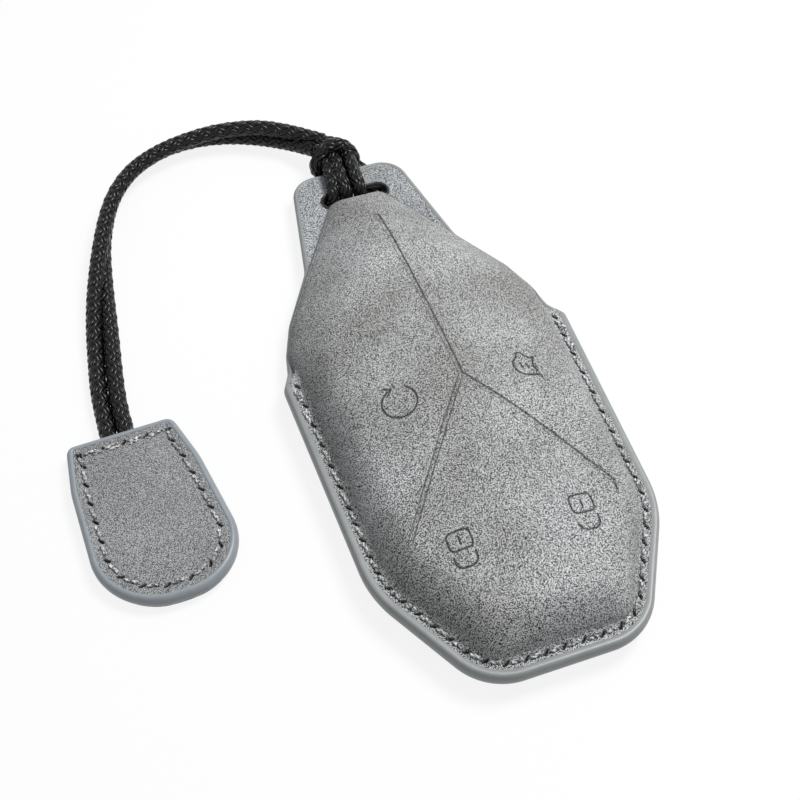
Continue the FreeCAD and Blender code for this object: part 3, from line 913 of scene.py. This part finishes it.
# Line along which shade is painted round the bottom and lower left of the dome's foot.
painted_shade_line = drawn_in(foot_outline, painted_shade_inset)[::4]
painted_shade_line = painted_shade_line[(painted_shade_line[:, 1] < painted_shade_top_at - half_length) & (painted_shade_line[:, 0] < painted_shade_right)]
front_marks = [
    dict(lines=[painted_shade_line], width=7.5, wall=3.7, depth=0.0, edge=painted_shade_tint, floor=painted_shade_tint),
    dict(lines=[[spine_top, fork_place], *arms], width=1.1, wall=0.22, depth=0.3, edge=0.85, floor=0.1),
    dict(lines=signs, width=0.5, wall=0.2, depth=0.22, edge=0.85, floor=1.0),
    dict(lines=[seam_row], width=1.1, wall=0.4, depth=0.1, edge=0.2, floor=0.55),
    dict(lines=needle_slits(seam_row), width=hole_width, wall=0.16, depth=0.5, edge=0.9, floor=1.0)]
mouth_start = (0, 7.85 * MM, 16 * MM)
mouth_end = (0, 16 * MM, 16 * MM)


def fit_over_mouth(piece, slot, *nodes):
    """The piece bends at the mouth, between the sewn front and the lip, and stands for its CAD nodes."""
    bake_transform(piece, "pouch", "mouth_lip", start=mouth_start, end=mouth_end)
    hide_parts(*nodes)


front_finish = leather_finish(
    "front_leather", pale=(0.56, 0.568, 0.566), dark=(0.036, 0.037, 0.036), mottle=0.17)
front_shape, front_shown = front_ply(0.0, 0.0, leather)
front = pressed_piece(
    "front_leather", front_shape, front_shown, front_marks,
    lambda x, y: dome_level(x, y, 0.0, foot_outline), front_finish)
fit_over_mouth(front, "front_leather", "front_panel", "front_lip")

# Front lining. A thin microfibre lining glued to the inside of the front, turned out under its
# flat edge, which keeps the key from scratches.
lining_glue = 0.02
lining_room = 0.03
lining_shape, _ = front_ply(leather + lining_glue, leather + lining_glue, inner_ply - lining_room)
lining_finish = leather_finish(
    "lining", pale=(0.12, 0.12, 0.125), dark=(0.06, 0.06, 0.062), mottle=0.06, grain=0.3)
lining = mesh_piece("pocket_lining", lining_shape, lining_finish)
fit_over_mouth(lining, "lining", "front_lining", "front_lip_lining")

# Lip edge. The free edge of the front is finished with a thin line of edge paint, from shoulder to shoulder
# round the dome's nose. Its dark grey is painted shade where the lip meets the tab.
lip_coat = 0.28
lip_rise = 0.62
lip_drop = 0.06
lip_low = lip_edge_low - lip_drop
lip_from = 0.55
bead_sides = 10
taper_points = 6.0
taper_least = 0.1


def open_bead(line, out, half_wide, low, high):
    """Slim rounded bead along an open line, tapered and closed at both ends."""
    turn = np.radians(np.arange(bead_sides) * 360.0 / bead_sides)
    order = np.arange(len(line))
    share = np.clip(np.minimum(order, order[::-1]) / taper_points, 0.0, 1.0)
    taper = (np.sqrt(1 - (1 - share) ** 2) * (1 - taper_least) + taper_least)[:, None]
    aside = half_wide * np.cos(turn)[None, :] * taper
    flat = line[:, None, :] + out[:, None, :] * aside[:, :, None]
    up = (low + high) / 2 + (high - low) / 2 * taper * np.sin(turn)[None, :]
    points = np.concatenate([flat, up[:, :, None]], axis=2).reshape(-1, 3)
    rings = [list(range(i * bead_sides, (i + 1) * bead_sides)) for i in order]
    faces = [rings[0], rings[-1][::-1]]
    for here, there in zip(rings, rings[1:]):
        faces += band_faces(here, there)
    return points, faces


lip_free = lip_share(foot_outline[:, 1]) > lip_from
lip_out = way_out(foot_outline)[lip_free]
lip_line = foot_outline[lip_free] + lip_out * lip_overhang
lip_shape = open_bead(lip_line, lip_out, lip_coat, lip_low, lip_low + lip_rise)
# Dark grey paint: painted shade along the lip's edge.
lip_shade_finish = edge_paint_finish("lip_paint_shade", colour=(0.13, 0.135, 0.133), shade=(0.09, 0.094, 0.092))
lip_bead = mesh_piece("lip_edge_paint", lip_shape, lip_shade_finish)
fit_over_mouth(lip_bead, "edge_paint", "lip_edge_coat")

# Seam threads. A lockstitch seam in thick dark bonded thread joins the front to the back below
# the shoulders: one thread shows on the front, the bobbin thread on the back.
thread_width = 0.78
stitch_lift = 0.24
stitch_sink = 0.75
stitch_slant = 0.14
stitch_twist = 9.0
stitch_share = 0.8
stitch_points = 15
stitch_power = 5.0
ply_sides = 6
ply_radius_share = 0.29
ply_shift_share = 0.21
backstitch_shift = 0.55


def scaled_vector(tree, vector, factor):
    return add_node(tree, "ShaderNodeVectorMath", {0: vector, 3: factor}, operation="SCALE").outputs[0]


def new_tree(name, sizes):
    """Empty geometry tree with a geometry input and output and named sizes, and its inputs."""
    tree = bpy.data.node_groups.new(name, "GeometryNodeTree")
    for side in ("INPUT", "OUTPUT"):
        tree.interface.new_socket("Geometry", in_out=side, socket_type="NodeSocketGeometry")
    for size in sizes:
        tree.interface.new_socket(size, in_out="INPUT", socket_type="NodeSocketFloat")
    return tree, add_node(tree, "NodeGroupInput").outputs


def joined(tree, parts):
    node = add_node(tree, "GeometryNodeJoinGeometry")
    for part in parts:
        tree.links.new(part, node.inputs[0])
    return node.outputs[0]


def end_tree(tree, parts, finish):
    """Join the parts, make them plain geometry with one finish and hand them out."""
    smooth = add_node(tree, "GeometryNodeSetShadeSmooth", {0: joined(tree, parts)})
    plain = add_node(tree, "GeometryNodeRealizeInstances", {0: smooth.outputs[0]})
    coated = add_node(tree, "GeometryNodeSetMaterial", {0: plain.outputs[0], "Material": finish})
    add_node(tree, "NodeGroupOutput", {0: coated.outputs[0]})


def ring_curve(tree, sides, radius):
    node = add_node(tree, "GeometryNodeCurvePrimitiveCircle", {"Resolution": sides, "Radius": radius})
    return node.outputs[0]


def tube(tree, curve, section):
    """Tube with a section along a curve, closed at its ends."""
    node = add_node(
        tree, "GeometryNodeCurveToMesh", {"Curve": curve, "Profile Curve": section, "Fill Caps": True})
    return node.outputs[0]


def kept_vector(tree, geometry, vector, domain):
    """Geometry that carries a vector along with it, and the vector carried."""
    kept = add_node(tree, "GeometryNodeCaptureAttribute", domain=domain)
    kept.capture_items.new("VECTOR", "Kept")
    set_inputs(tree, kept, {"Geometry": geometry, "Kept": vector})
    return kept.outputs["Geometry"], kept.outputs["Kept"]


def grown(name, lines, tree, sizes, finish):
    """Plain mesh piece that a geometry tree grows along lines of points in metres."""
    points = [tuple(point) for line in lines for point in line]
    edges, first = [], 0
    for line in lines:
        edges += [(first + i, first + i + 1) for i in range(len(line) - 1)]
        first += len(line)
    mesh = bpy.data.meshes.new(name)
    mesh.from_pydata(points, edges, [])
    seed = add_object(name, mesh)
    growth = seed.modifiers.new("growth", "NODES")
    growth.node_group = tree
    for item in tree.interface.items_tree:
        if item.name in sizes:
            growth[item.identifier] = sizes[item.name]
    result = evaluated_mesh(seed)
    discard(seed)
    return shown_piece(name, result, finish, sharp=80.0)


def twisted_stitch(tree, inlet):
    """One stitch along x, one unit long: two plies wound round each other, sunk at both ends."""
    along = add_node(tree, "GeometryNodeSplineParameter").outputs["Factor"]
    line = add_node(
        tree, "GeometryNodeCurvePrimitiveLine", {"Start": (-0.5, 0.0, 0.0), "End": (0.5, 0.0, 0.0)})
    fine = add_node(
        tree, "GeometryNodeResampleCurve", {0: line.outputs[0], "Count": stitch_points}, mode="COUNT")
    ply_shift = add_math(tree, "MULTIPLY", inlet["Thread width"], ply_shift_share)
    ply_radius = add_math(tree, "MULTIPLY", inlet["Thread width"], ply_radius_share)
    ring = ring_curve(tree, ply_sides, ply_radius)
    off_middle = add_math(tree, "MULTIPLY_ADD", along, 2.0, -1.0)
    sunk = add_math(tree, "POWER", add_math(tree, "ABSOLUTE", off_middle), stitch_power)
    fall = add_math(tree, "ADD", inlet["Lift"], inlet["Sink"])
    arch = add_math(tree, "SUBTRACT", inlet["Lift"], add_math(tree, "MULTIPLY", fall, sunk))
    turn = add_math(tree, "MULTIPLY", along, inlet["Twist"])
    plies = []
    for phase in (0.0, math.pi):
        angle = add_math(tree, "ADD", turn, phase)
        across = add_math(tree, "MULTIPLY", add_math(tree, "COSINE", angle), ply_shift)
        up = add_math(tree, "MULTIPLY_ADD", add_math(tree, "SINE", angle), ply_shift, arch)
        offset = add_node(tree, "ShaderNodeCombineXYZ", {"Y": across, "Z": up})
        ply = add_node(
            tree, "GeometryNodeSetPosition", {"Geometry": fine.outputs[0], "Offset": offset.outputs[0]})
        plies.append(tube(tree, ply.outputs[0], ring))
    return joined(tree, plies)


def stitch_tree(finish):
    """Geometry nodes: one two-ply stitch along every edge of a row of holes."""
    tree, inlet = new_tree("stitches", ["Thread width", "Lift", "Sink", "Slant", "Twist", "Share"])
    ends = add_node(tree, "GeometryNodeInputMeshEdgeVertices").outputs
    run = add_vector(tree, "SUBTRACT", ends["Position 2"], ends["Position 1"])
    aside = scaled_vector(tree, add_vector(tree, "CROSS_PRODUCT", (0.0, 0.0, 1.0), run), inlet["Slant"])
    row, way = kept_vector(tree, inlet["Geometry"], add_vector(tree, "ADD", run, aside), "EDGE")
    middles = add_node(tree, "GeometryNodeMeshToPoints", {0: row}, mode="EDGES")
    length = add_node(tree, "ShaderNodeVectorMath", {0: way}, operation="LENGTH").outputs["Value"]
    shown = add_math(tree, "MULTIPLY", length, inlet["Share"])
    stretch = add_node(tree, "ShaderNodeCombineXYZ", {"X": shown, "Y": 1.0, "Z": 1.0})
    facing = add_node(
        tree, "FunctionNodeAlignRotationToVector", {"Vector": way}, axis="X", pivot_axis="Z")
    laid = add_node(tree, "GeometryNodeInstanceOnPoints", {
        "Points": middles.outputs[0], "Instance": twisted_stitch(tree, inlet),
        "Rotation": facing.outputs[0], "Scale": stretch.outputs[0]})
    end_tree(tree, [laid.outputs[0]], finish)
    return tree


def thread_finish():
    """Bonded polyester thread: dark, with pale streaks painted into its colour as glints, over a fine bump
    of filaments.
    """
    material, tree, place = new_finish("bonded_thread")
    filament_and_glint_noise = add_noise(tree, place, 2600.0, detail=2.0, roughness=0.6)
    # Pale streaks in the colour are painted glints.
    painted_glints = add_range(tree, filament_and_glint_noise, 0.0, 1.0, start=0.39, end=0.63)
    set_shader(tree, {
        "Base Color": mixed_colour(tree, painted_glints, (0.05, 0.05, 0.052, 1.0), (0.8, 0.81, 0.82, 1.0)),
        "Normal": add_bump(tree, filament_and_glint_noise, strength=0.5, distance=0.05),
        "Roughness": 0.36,
        "Sheen Weight": 0.2})
    return material


def stitch_lines(holes, level):
    """The row of holes at a level, in metres, with the last stitches sewn back at both ends."""
    row = at_level(holes, level) * MM
    shifts = [np.array([np.sign(end[0]) * backstitch_shift, 0.0, 0.0]) * MM for end in (row[0], row[-1])]
    return [row, row[:3] + shifts[0], row[:-4:-1] + shifts[1]]


def sew(name, lines, width, lift, sink, body, node):
    """A thread's stitches along lines of holes; lift and sink are negative on the underside."""
    sizes = {
        "Thread width": width * MM, "Lift": lift * MM, "Sink": sink * MM,
        "Slant": stitch_slant, "Twist": stitch_twist, "Share": stitch_share}
    fit(grown(name, lines, stitches, sizes, thread), body, "seam_thread", node)


thread = thread_finish()
stitches = stitch_tree(thread)
sew("seam_thread", stitch_lines(seam_row, front_level), thread_width, stitch_lift, stitch_sink,
    "pouch", "seam_top_thread")
sew("bobbin_thread", stitch_lines(seam_row, back_level), thread_width, -stitch_lift, -stitch_sink,
    "pouch", "seam_bobbin_thread")

# Cord loops. The lanyard is one waxed braided polyester cord, doubled. Its bight goes round the
# strip of tab above the slot, as two legs side by side in front and behind.
cord_fullness = 3.3
loop_fullness = 3.1
braid_pitch = 12.6
yarn_width = 0.98
yarn_thickness = 0.5
braid_wave = 0.15
braid_step = 0.3
yarns_each_way = 8
yarn_sides = 6
core_sides = 10
left_loop = [
    [(-0.4, 64.0, 5.4), (-0.9, 62.0, 6.1), (-1.3, 59.6, 6.3), (-1.5, 57.0, 6.2), (-1.65, 54.2, 6.15),
     (-1.7, 51.9, 5.9), (-1.7, 50.7, 3.8), (-1.8, 51.6, 1.7), (-1.9, 54.2, 1.55), (-2.2, 57.5, 1.55),
     (-2.6, 60.4, 2.1), (-2.4, 62.6, 3.4)],
    [(-2.0, 63.0, 4.6), (-2.6, 61.0, 5.5), (-3.0, 58.8, 5.85), (-3.4, 55.8, 5.9), (-3.7, 52.8, 5.7),
     (-4.2, 50.9, 3.9), (-5.1, 51.6, 1.9), (-5.8, 54.2, 1.55), (-5.3, 57.5, 1.55), (-4.3, 60.4, 2.2),
     (-3.2, 62.4, 3.4)]]
right_loop = [
    [(1.2, 64.0, 5.4), (1.6, 62.0, 6.1), (1.6, 59.6, 6.3), (1.45, 57.0, 6.2), (1.3, 54.2, 6.15),
     (1.25, 51.9, 5.9), (1.2, 50.7, 3.8), (2.8, 51.4, 1.7), (6.2, 52.4, 1.55), (6.9, 55.4, 1.55),
     (5.4, 58.8, 1.6), (3.4, 61.2, 2.3), (2.6, 62.6, 3.4)]]


def smooth_line(route):
    """Points (m) down the middle of a cord: the NURBS spline with its route (mm) as control points."""
    curve = bpy.data.curves.new("route", "CURVE")
    curve.dimensions = "3D"
    curve.resolution_u = 12
    spline = curve.splines.new("NURBS")
    spline.points.add(len(route) - 1)
    for control, place in zip(spline.points, route):
        control.co = (*(Vector(place) * MM), 1.0)
    spline.order_u = 3
    spline.use_endpoint_u = True
    bare = add_object("route", curve)
    line = evaluated_mesh(bare)
    points = [vertex.co.copy() for vertex in line.vertices]
    bpy.data.objects.remove(bare)
    bpy.data.curves.remove(curve)
    bpy.data.meshes.remove(line)
    return points


def yarn_section(tree, inlet):
    """Flat oval section of one yarn."""
    half_thick = add_math(tree, "MULTIPLY", inlet["Yarn thickness"], 0.5)
    half_wide = add_math(tree, "MULTIPLY", inlet["Yarn width"], 0.5)
    size = add_node(tree, "ShaderNodeCombineXYZ", {"X": half_thick, "Y": half_wide, "Z": 1.0}).outputs[0]
    ring = ring_curve(tree, yarn_sides, 1.0)
    return add_node(tree, "GeometryNodeTransform", {"Geometry": ring, "Scale": size}).outputs[0]


def wound_yarns(tree, inlet, line, middle):
    """Yarns wound both ways round a line at a middle radius, each over two and under two others."""
    copies = add_node(
        tree, "GeometryNodeDuplicateElements", {0: line, "Amount": yarns_each_way}, domain="SPLINE")
    ahead = add_node(tree, "GeometryNodeInputTangent").outputs[0]
    normal = add_node(tree, "GeometryNodeInputNormal").outputs[0]
    binormal = add_vector(tree, "CROSS_PRODUCT", ahead, normal)
    travel = add_node(tree, "GeometryNodeSplineParameter").outputs["Length"]
    turns = add_math(tree, "DIVIDE", travel, inlet["Pitch"])
    start = add_math(tree, "MULTIPLY", copies.outputs["Duplicate Index"], 2 * math.pi / yarns_each_way)
    crossings = add_math(tree, "MULTIPLY_ADD", turns, math.pi * yarns_each_way, -math.pi / 4)
    weave = add_math(tree, "COSINE", crossings)
    section = yarn_section(tree, inlet)
    wound_ways = []
    for hand in (1.0, -1.0):
        angle = add_math(tree, "MULTIPLY_ADD", turns, hand * 2 * math.pi, start)
        side = add_vector(
            tree, "ADD", scaled_vector(tree, normal, add_math(tree, "COSINE", angle)),
            scaled_vector(tree, binormal, add_math(tree, "SINE", angle)))
        lift = add_math(tree, "MULTIPLY", weave, hand)
        reach = add_math(tree, "MULTIPLY_ADD", lift, inlet["Wave"], middle)
        yarns, facing = kept_vector(tree, copies.outputs[0], side, "POINT")
        wound = add_node(
            tree, "GeometryNodeSetPosition",
            {"Geometry": yarns, "Offset": scaled_vector(tree, side, reach)})
        flat = add_node(
            tree, "GeometryNodeSetCurveNormal", {0: wound.outputs[0], "Normal": facing}, mode="FREE")
        wound_ways.append(tube(tree, flat.outputs[0], section))
    return wound_ways


def braid_tree(finish):
    """Geometry nodes: a cord along every line, with its braid of yarns over a round core."""
    tree, inlet = new_tree("braid", ["Cord radius", "Yarn width", "Yarn thickness", "Pitch", "Wave"])
    line = add_node(tree, "GeometryNodeMeshToCurve", {0: inlet["Geometry"]})
    fine = add_node(
        tree, "GeometryNodeResampleCurve", {0: line.outputs[0], "Length": braid_step * MM}, mode="LENGTH")
    steady = add_node(
        tree, "GeometryNodeSetCurveNormal", {0: fine.outputs[0]}, mode="MINIMUM_TWIST").outputs[0]
    crest = add_math(tree, "MULTIPLY_ADD", inlet["Yarn thickness"], 0.5, inlet["Wave"])
    middle = add_math(tree, "SUBTRACT", inlet["Cord radius"], crest)
    core_ring = ring_curve(tree, core_sides, add_math(tree, "SUBTRACT", middle, inlet["Wave"]))
    parts = wound_yarns(tree, inlet, steady, middle) + [tube(tree, steady, core_ring)]
    end_tree(tree, parts, finish)
    return tree


def waxed_finish():
    """Waxed black polyester: glossy yarns, broken up a little by their fibres."""
    material, tree, place = new_finish("waxed_cord")
    fibres = add_noise(tree, place, 5200.0, detail=3.0, roughness=0.6)
    set_shader(tree, {
        "Base Color": mixed_colour(tree, fibres, (0.0008, 0.0008, 0.001, 1.0), (0.006, 0.0063, 0.007, 1.0)),
        "Roughness": add_range(tree, fibres, 0.14, 0.3),
        "Normal": add_bump(tree, fibres, strength=0.35, distance=0.06),
        "Specular IOR Level": 0.28})
    return material


waxed = waxed_finish()
braid = braid_tree(waxed)
braid_sizes = {
    "Cord radius": cord_fullness / 2 * MM, "Yarn width": yarn_width * MM,
    "Yarn thickness": yarn_thickness * MM, "Pitch": braid_pitch * MM, "Wave": braid_wave * MM}
loop_sizes = braid_sizes | {"Cord radius": loop_fullness / 2 * MM}


def braided(name, lines, sizes, body, node):
    """Cord braided along smooth lines, which stands for a CAD node."""
    piece = grown(name, lines, braid, sizes, waxed)
    fit(piece, body, "waxed_cord", node)
    return piece


for side, routes in (("left", left_loop), ("right", right_loop)):
    braided("cord_loop_" + side, [smooth_line(route) for route in routes], loop_sizes, "pouch",
            "loop_strand_" + side)

# Knot. The doubled cord is drawn through its own bight above the tab: a crosswise band in front
# and one behind, with both strands pulled through between them.
knot_center = (0.2, 63.2, 5.1)
front_band = [
    (-2.4, -0.4, -2.9), (-5.0, -2.5, -2.0), (-5.4, -2.2, 0.0), (-3.0, -0.5, 2.2), (-0.4, -0.6, 3.1),
    (1.6, -1.6, 2.2), (2.7, -2.5, 0.3), (2.5, -2.1, -1.8), (1.2, -0.9, -2.6)]
back_band = [(-3.0, 0.2, -2.4), (-1.4, 0.8, -2.8), (0.6, 0.6, -2.8), (2.2, -0.4, -2.5)]
outer_stub = [(1.6, -1.6, 0.3), (1.2, 0.0, 0.9), (0.2, 1.7, 0.7), (-0.9, 3.1, 0.2), (-2.2, 4.2, 0.0)]
inner_stub = [(-0.4, -1.6, 0.0), (-1.2, -0.2, 0.5), (-2.2, 0.8, 0.3), (-3.2, 1.4, 0.0), (-4.3, 2.0, -0.2)]
core_turns = [(-1.2, -1.4, -0.8), (1.3, -0.6, -0.6), (0.4, 1.2, -0.8), (-1.4, 0.6, -0.8), (-0.4, -0.8, 0.4)]


def about_knot(route):
    return [tuple(np.add(knot_center, place)) for place in route]


knot_routes = [front_band, back_band, outer_stub, inner_stub, core_turns]
knot_lines = [smooth_line(about_knot(route)) for route in knot_routes]
braided("lanyard_knot_cord", knot_lines, braid_sizes, "knot", "lanyard_knot")

# Tag. Two skins of fine-grained leather over a stiff core, cut to a rounded shield, with their
# edge painted and a lockstitch row all round. It hangs on the cord's two ends.
tag_corners = [(-9.6, 0.0), (-11.4, -9.5), (-13.0, -35.6), (13.0, -35.6), (11.4, -9.5), (9.6, 0.0)]
tag_rounds = [1.8, 20.0, 11.2, 11.2, 20.0, 1.8]
tag_place = Vector((-57.5, 8.56, 0.0))
tag_turn = math.radians(6.2)
tag_skew = 0.07
tag_leather = 1.2
tag_core = 1.0
tag_thickness = 2 * tag_leather + tag_core
tag_seam_inset = 2.7
tag_swell = 0.35
tag_swell_depth = 9.0
tag_pitch = 4.0
tag_rows = 90
tag_columns = 60


def tag_pose(unit):
    """From the tag's own frame, its top edge at y 0, to where it lies, cut a little askew."""
    askew = Matrix.Identity(4)
    askew[1][0] = -tag_skew
    return Matrix.Translation(tag_place * unit) @ Matrix.Rotation(tag_turn, 4, "Z") @ askew


def on_tag(points):
    """Points of the tag's own frame in millimetres, moved to where it lies."""
    pose = np.array(tag_pose(1.0))
    return np.asarray(points, float) @ pose[:3, :3].T + pose[:3, 3]


def tag_piece(name, shape, finish):
    """New piece from a shape in the tag's own frame."""
    points, faces = shape
    return mesh_piece(name, (on_tag(points), faces), finish)


def level_plane(level):
    return lambda x, y: np.full(np.shape(x), level)


def tag_top(x, y):
    """The tag's front skin swells a little inside its seam."""
    inside = smooth_step(depth_inside(x, y, tag_outline), tag_seam_inset, tag_swell_depth)
    return tag_thickness + tag_swell * inside


def tag_ply(outline, low, top):
    return slab_between(outline, level_plane(low), top, tag_rows, tag_columns)


tag_outline = rounded_outline(tag_corners, tag_rounds)
skin_outline = drawn_in(tag_outline, edge_coat)
tag_finish = leather_finish(
    "tag_leather", pale=(0.42, 0.43, 0.432), dark=(0.075, 0.077, 0.077), mottle=0.1, grain=0.15)
tag_row = even_spaced(drawn_in(tag_outline, tag_seam_inset), tag_pitch)
tag_row = np.vstack([tag_row, tag_row[:1]])
# The tag's seam groove and needle holes are tinted dark, partly as painted shade.
tag_marks = [
    dict(lines=[tag_row], width=1.5, wall=0.7, depth=0.16, edge=0.0, floor=0.18),
    dict(lines=needle_slits(tag_row), width=hole_width, wall=0.16, depth=0.5, edge=0.9, floor=1.0)]
skin_shape = tag_ply(skin_outline, tag_leather + tag_core, tag_top)
skin_count = len(skin_shape[0])
skin_shown = np.where(np.arange(skin_count) < skin_count // 2, ON_RISE, 0.0)
skin = pressed_piece("tag_skin_front", skin_shape, skin_shown, tag_marks, tag_top, tag_finish)
skin.data.transform(tag_pose(MM))
fit(skin, "tag", "tag_leather", "tag_front")
under_skin = tag_piece("tag_skin_back", tag_ply(skin_outline, 0.0, level_plane(tag_leather)), tag_finish)
fit(under_skin, "tag", "tag_leather", "tag_back")

# Tag core. A stiff fibre board, die cut a little smaller than the two skins and glued between them.
# It keeps the tag flat and is hidden behind the edge paint.
board_inset = 0.1
core_finish = edge_paint_finish("fibre_board", colour=(0.1, 0.095, 0.09), shade=(0.06, 0.058, 0.055))
core_outline = drawn_in(tag_outline, edge_coat + board_inset)
core_shape = tag_ply(core_outline, tag_leather, level_plane(tag_leather + tag_core))
core = tag_piece("tag_board", core_shape, core_finish)
fit(core, "tag", "tag_stiffener", "tag_core")

# Tag edge. The same thick edge paint as on the cover, in a slightly bluer grey, built up in
# several coats round the tag's three plies and sanded round.
tag_paint = edge_paint_finish("tag_edge_paint", colour=(0.33, 0.36, 0.385), shade=(0.25, 0.275, 0.29))
tag_coat = 0.9
tag_overlap = 0.4
tag_lift = 0.8
tag_proud = 0.2
tag_bead_parts = bead_section(tag_lift, tag_thickness, tag_coat, tag_overlap, tag_proud)
tag_bead = tag_piece("tag_painted_edge", swept_bead(tag_outline, tag_bead_parts), tag_paint)
fit(tag_bead, "tag", "edge_paint", "tag_edge_coat")

# Tag seam. The same bonded thread in a closed row just inside the painted edge, sewn twice across
# the top, where it holds the cord's ends.
tag_thread_width = 0.66
tag_stitch_lift = 0.14
tag_bobbin_level = 0.56
tag_bobbin_lift = -0.03
tag_double_half = 6.4
tag_double_at = -tag_seam_inset - backstitch_shift
tag_double_pitch = 3.2
tag_double_ends = np.array([(-tag_double_half, tag_double_at), (tag_double_half, tag_double_at)])
tag_double = even_spaced(tag_double_ends, tag_double_pitch, closed=False)


def tag_lines(level):
    return [on_tag(at_level(row, level)) * MM for row in (tag_row, tag_double)]


sew("tag_thread", tag_lines(tag_thickness), tag_thread_width, tag_stitch_lift, stitch_sink,
    "tag", "tag_top_thread")
sew("tag_bobbin", tag_lines(tag_bobbin_level), tag_thread_width, tag_bobbin_lift, -stitch_sink,
    "tag", "tag_bobbin_thread")

# Cord ends. The two ends of the cord go in at the tag's top edge and are glued and sewn between
# its skins.
tail_routes = [
    [(-59.5, 10.6, 1.7), (-59.5, 8.6, 1.7), (-59.3, 4.5, 1.7), (-59.0, -1.0, 1.7)],
    [(-56.4, 10.8, 1.7), (-56.35, 8.8, 1.7), (-56.2, 4.7, 1.7), (-55.9, -1.0, 1.7)]]
braided("cord_ends", [smooth_line(route) for route in tail_routes], braid_sizes, "tag", "cord_tails")

# Free strands. The two free stretches of the same waxed braided cord, from the knot in a wide
# arc down to the tag, the inner one lying a little lower than the outer one.
strand_routes = {
    "outer": [
        (-1.7, 67.7, 5.2), (-5.3, 70.3, 5.6), (-8.7, 72.6, 5.9), (-13.0, 75.4, 5.8), (-17.9, 77.2, 5.4),
        (-22.9, 78.2, 5.0), (-28.1, 78.2, 4.6), (-33.6, 77.0, 4.6), (-38.4, 74.9, 4.6), (-42.1, 72.3, 4.6),
        (-45.2, 68.8, 4.6), (-47.6, 65.1, 4.5), (-50.0, 59.8, 4.3), (-52.3, 53.4, 3.9), (-54.3, 47.0, 3.3),
        (-55.9, 41.3, 2.7), (-57.4, 34.3, 2.1), (-58.4, 27.3, 1.7), (-59.3, 20.2, 1.68), (-59.5, 14.4, 1.66),
        (-59.5, 10.23, 1.7)],
    "inner": [
        (-3.8, 65.5, 5.0), (-5.8, 68.7, 3.9), (-8.7, 72.4, 2.8), (-12.9, 76.1, 2.0), (-17.7, 78.8, 1.66),
        (-22.7, 80.3, 1.66), (-27.9, 80.8, 1.66), (-33.4, 80.2, 1.66), (-38.2, 78.2, 1.66),
        (-42.0, 75.6, 1.66), (-45.1, 72.0, 1.66), (-47.5, 68.2, 1.66), (-49.8, 62.6, 1.66),
        (-51.8, 55.5, 1.66), (-52.9, 48.2, 1.66), (-53.7, 41.5, 1.66), (-54.5, 33.7, 1.66),
        (-55.4, 26.3, 1.66), (-56.2, 19.2, 1.66), (-56.5, 13.3, 1.66), (-56.4, 10.47, 1.7)]}
for side, route in strand_routes.items():
    line = smooth_line(route)
    strand = braided("cord_" + side, [line], braid_sizes, "lanyard", "cord_strand_" + side)
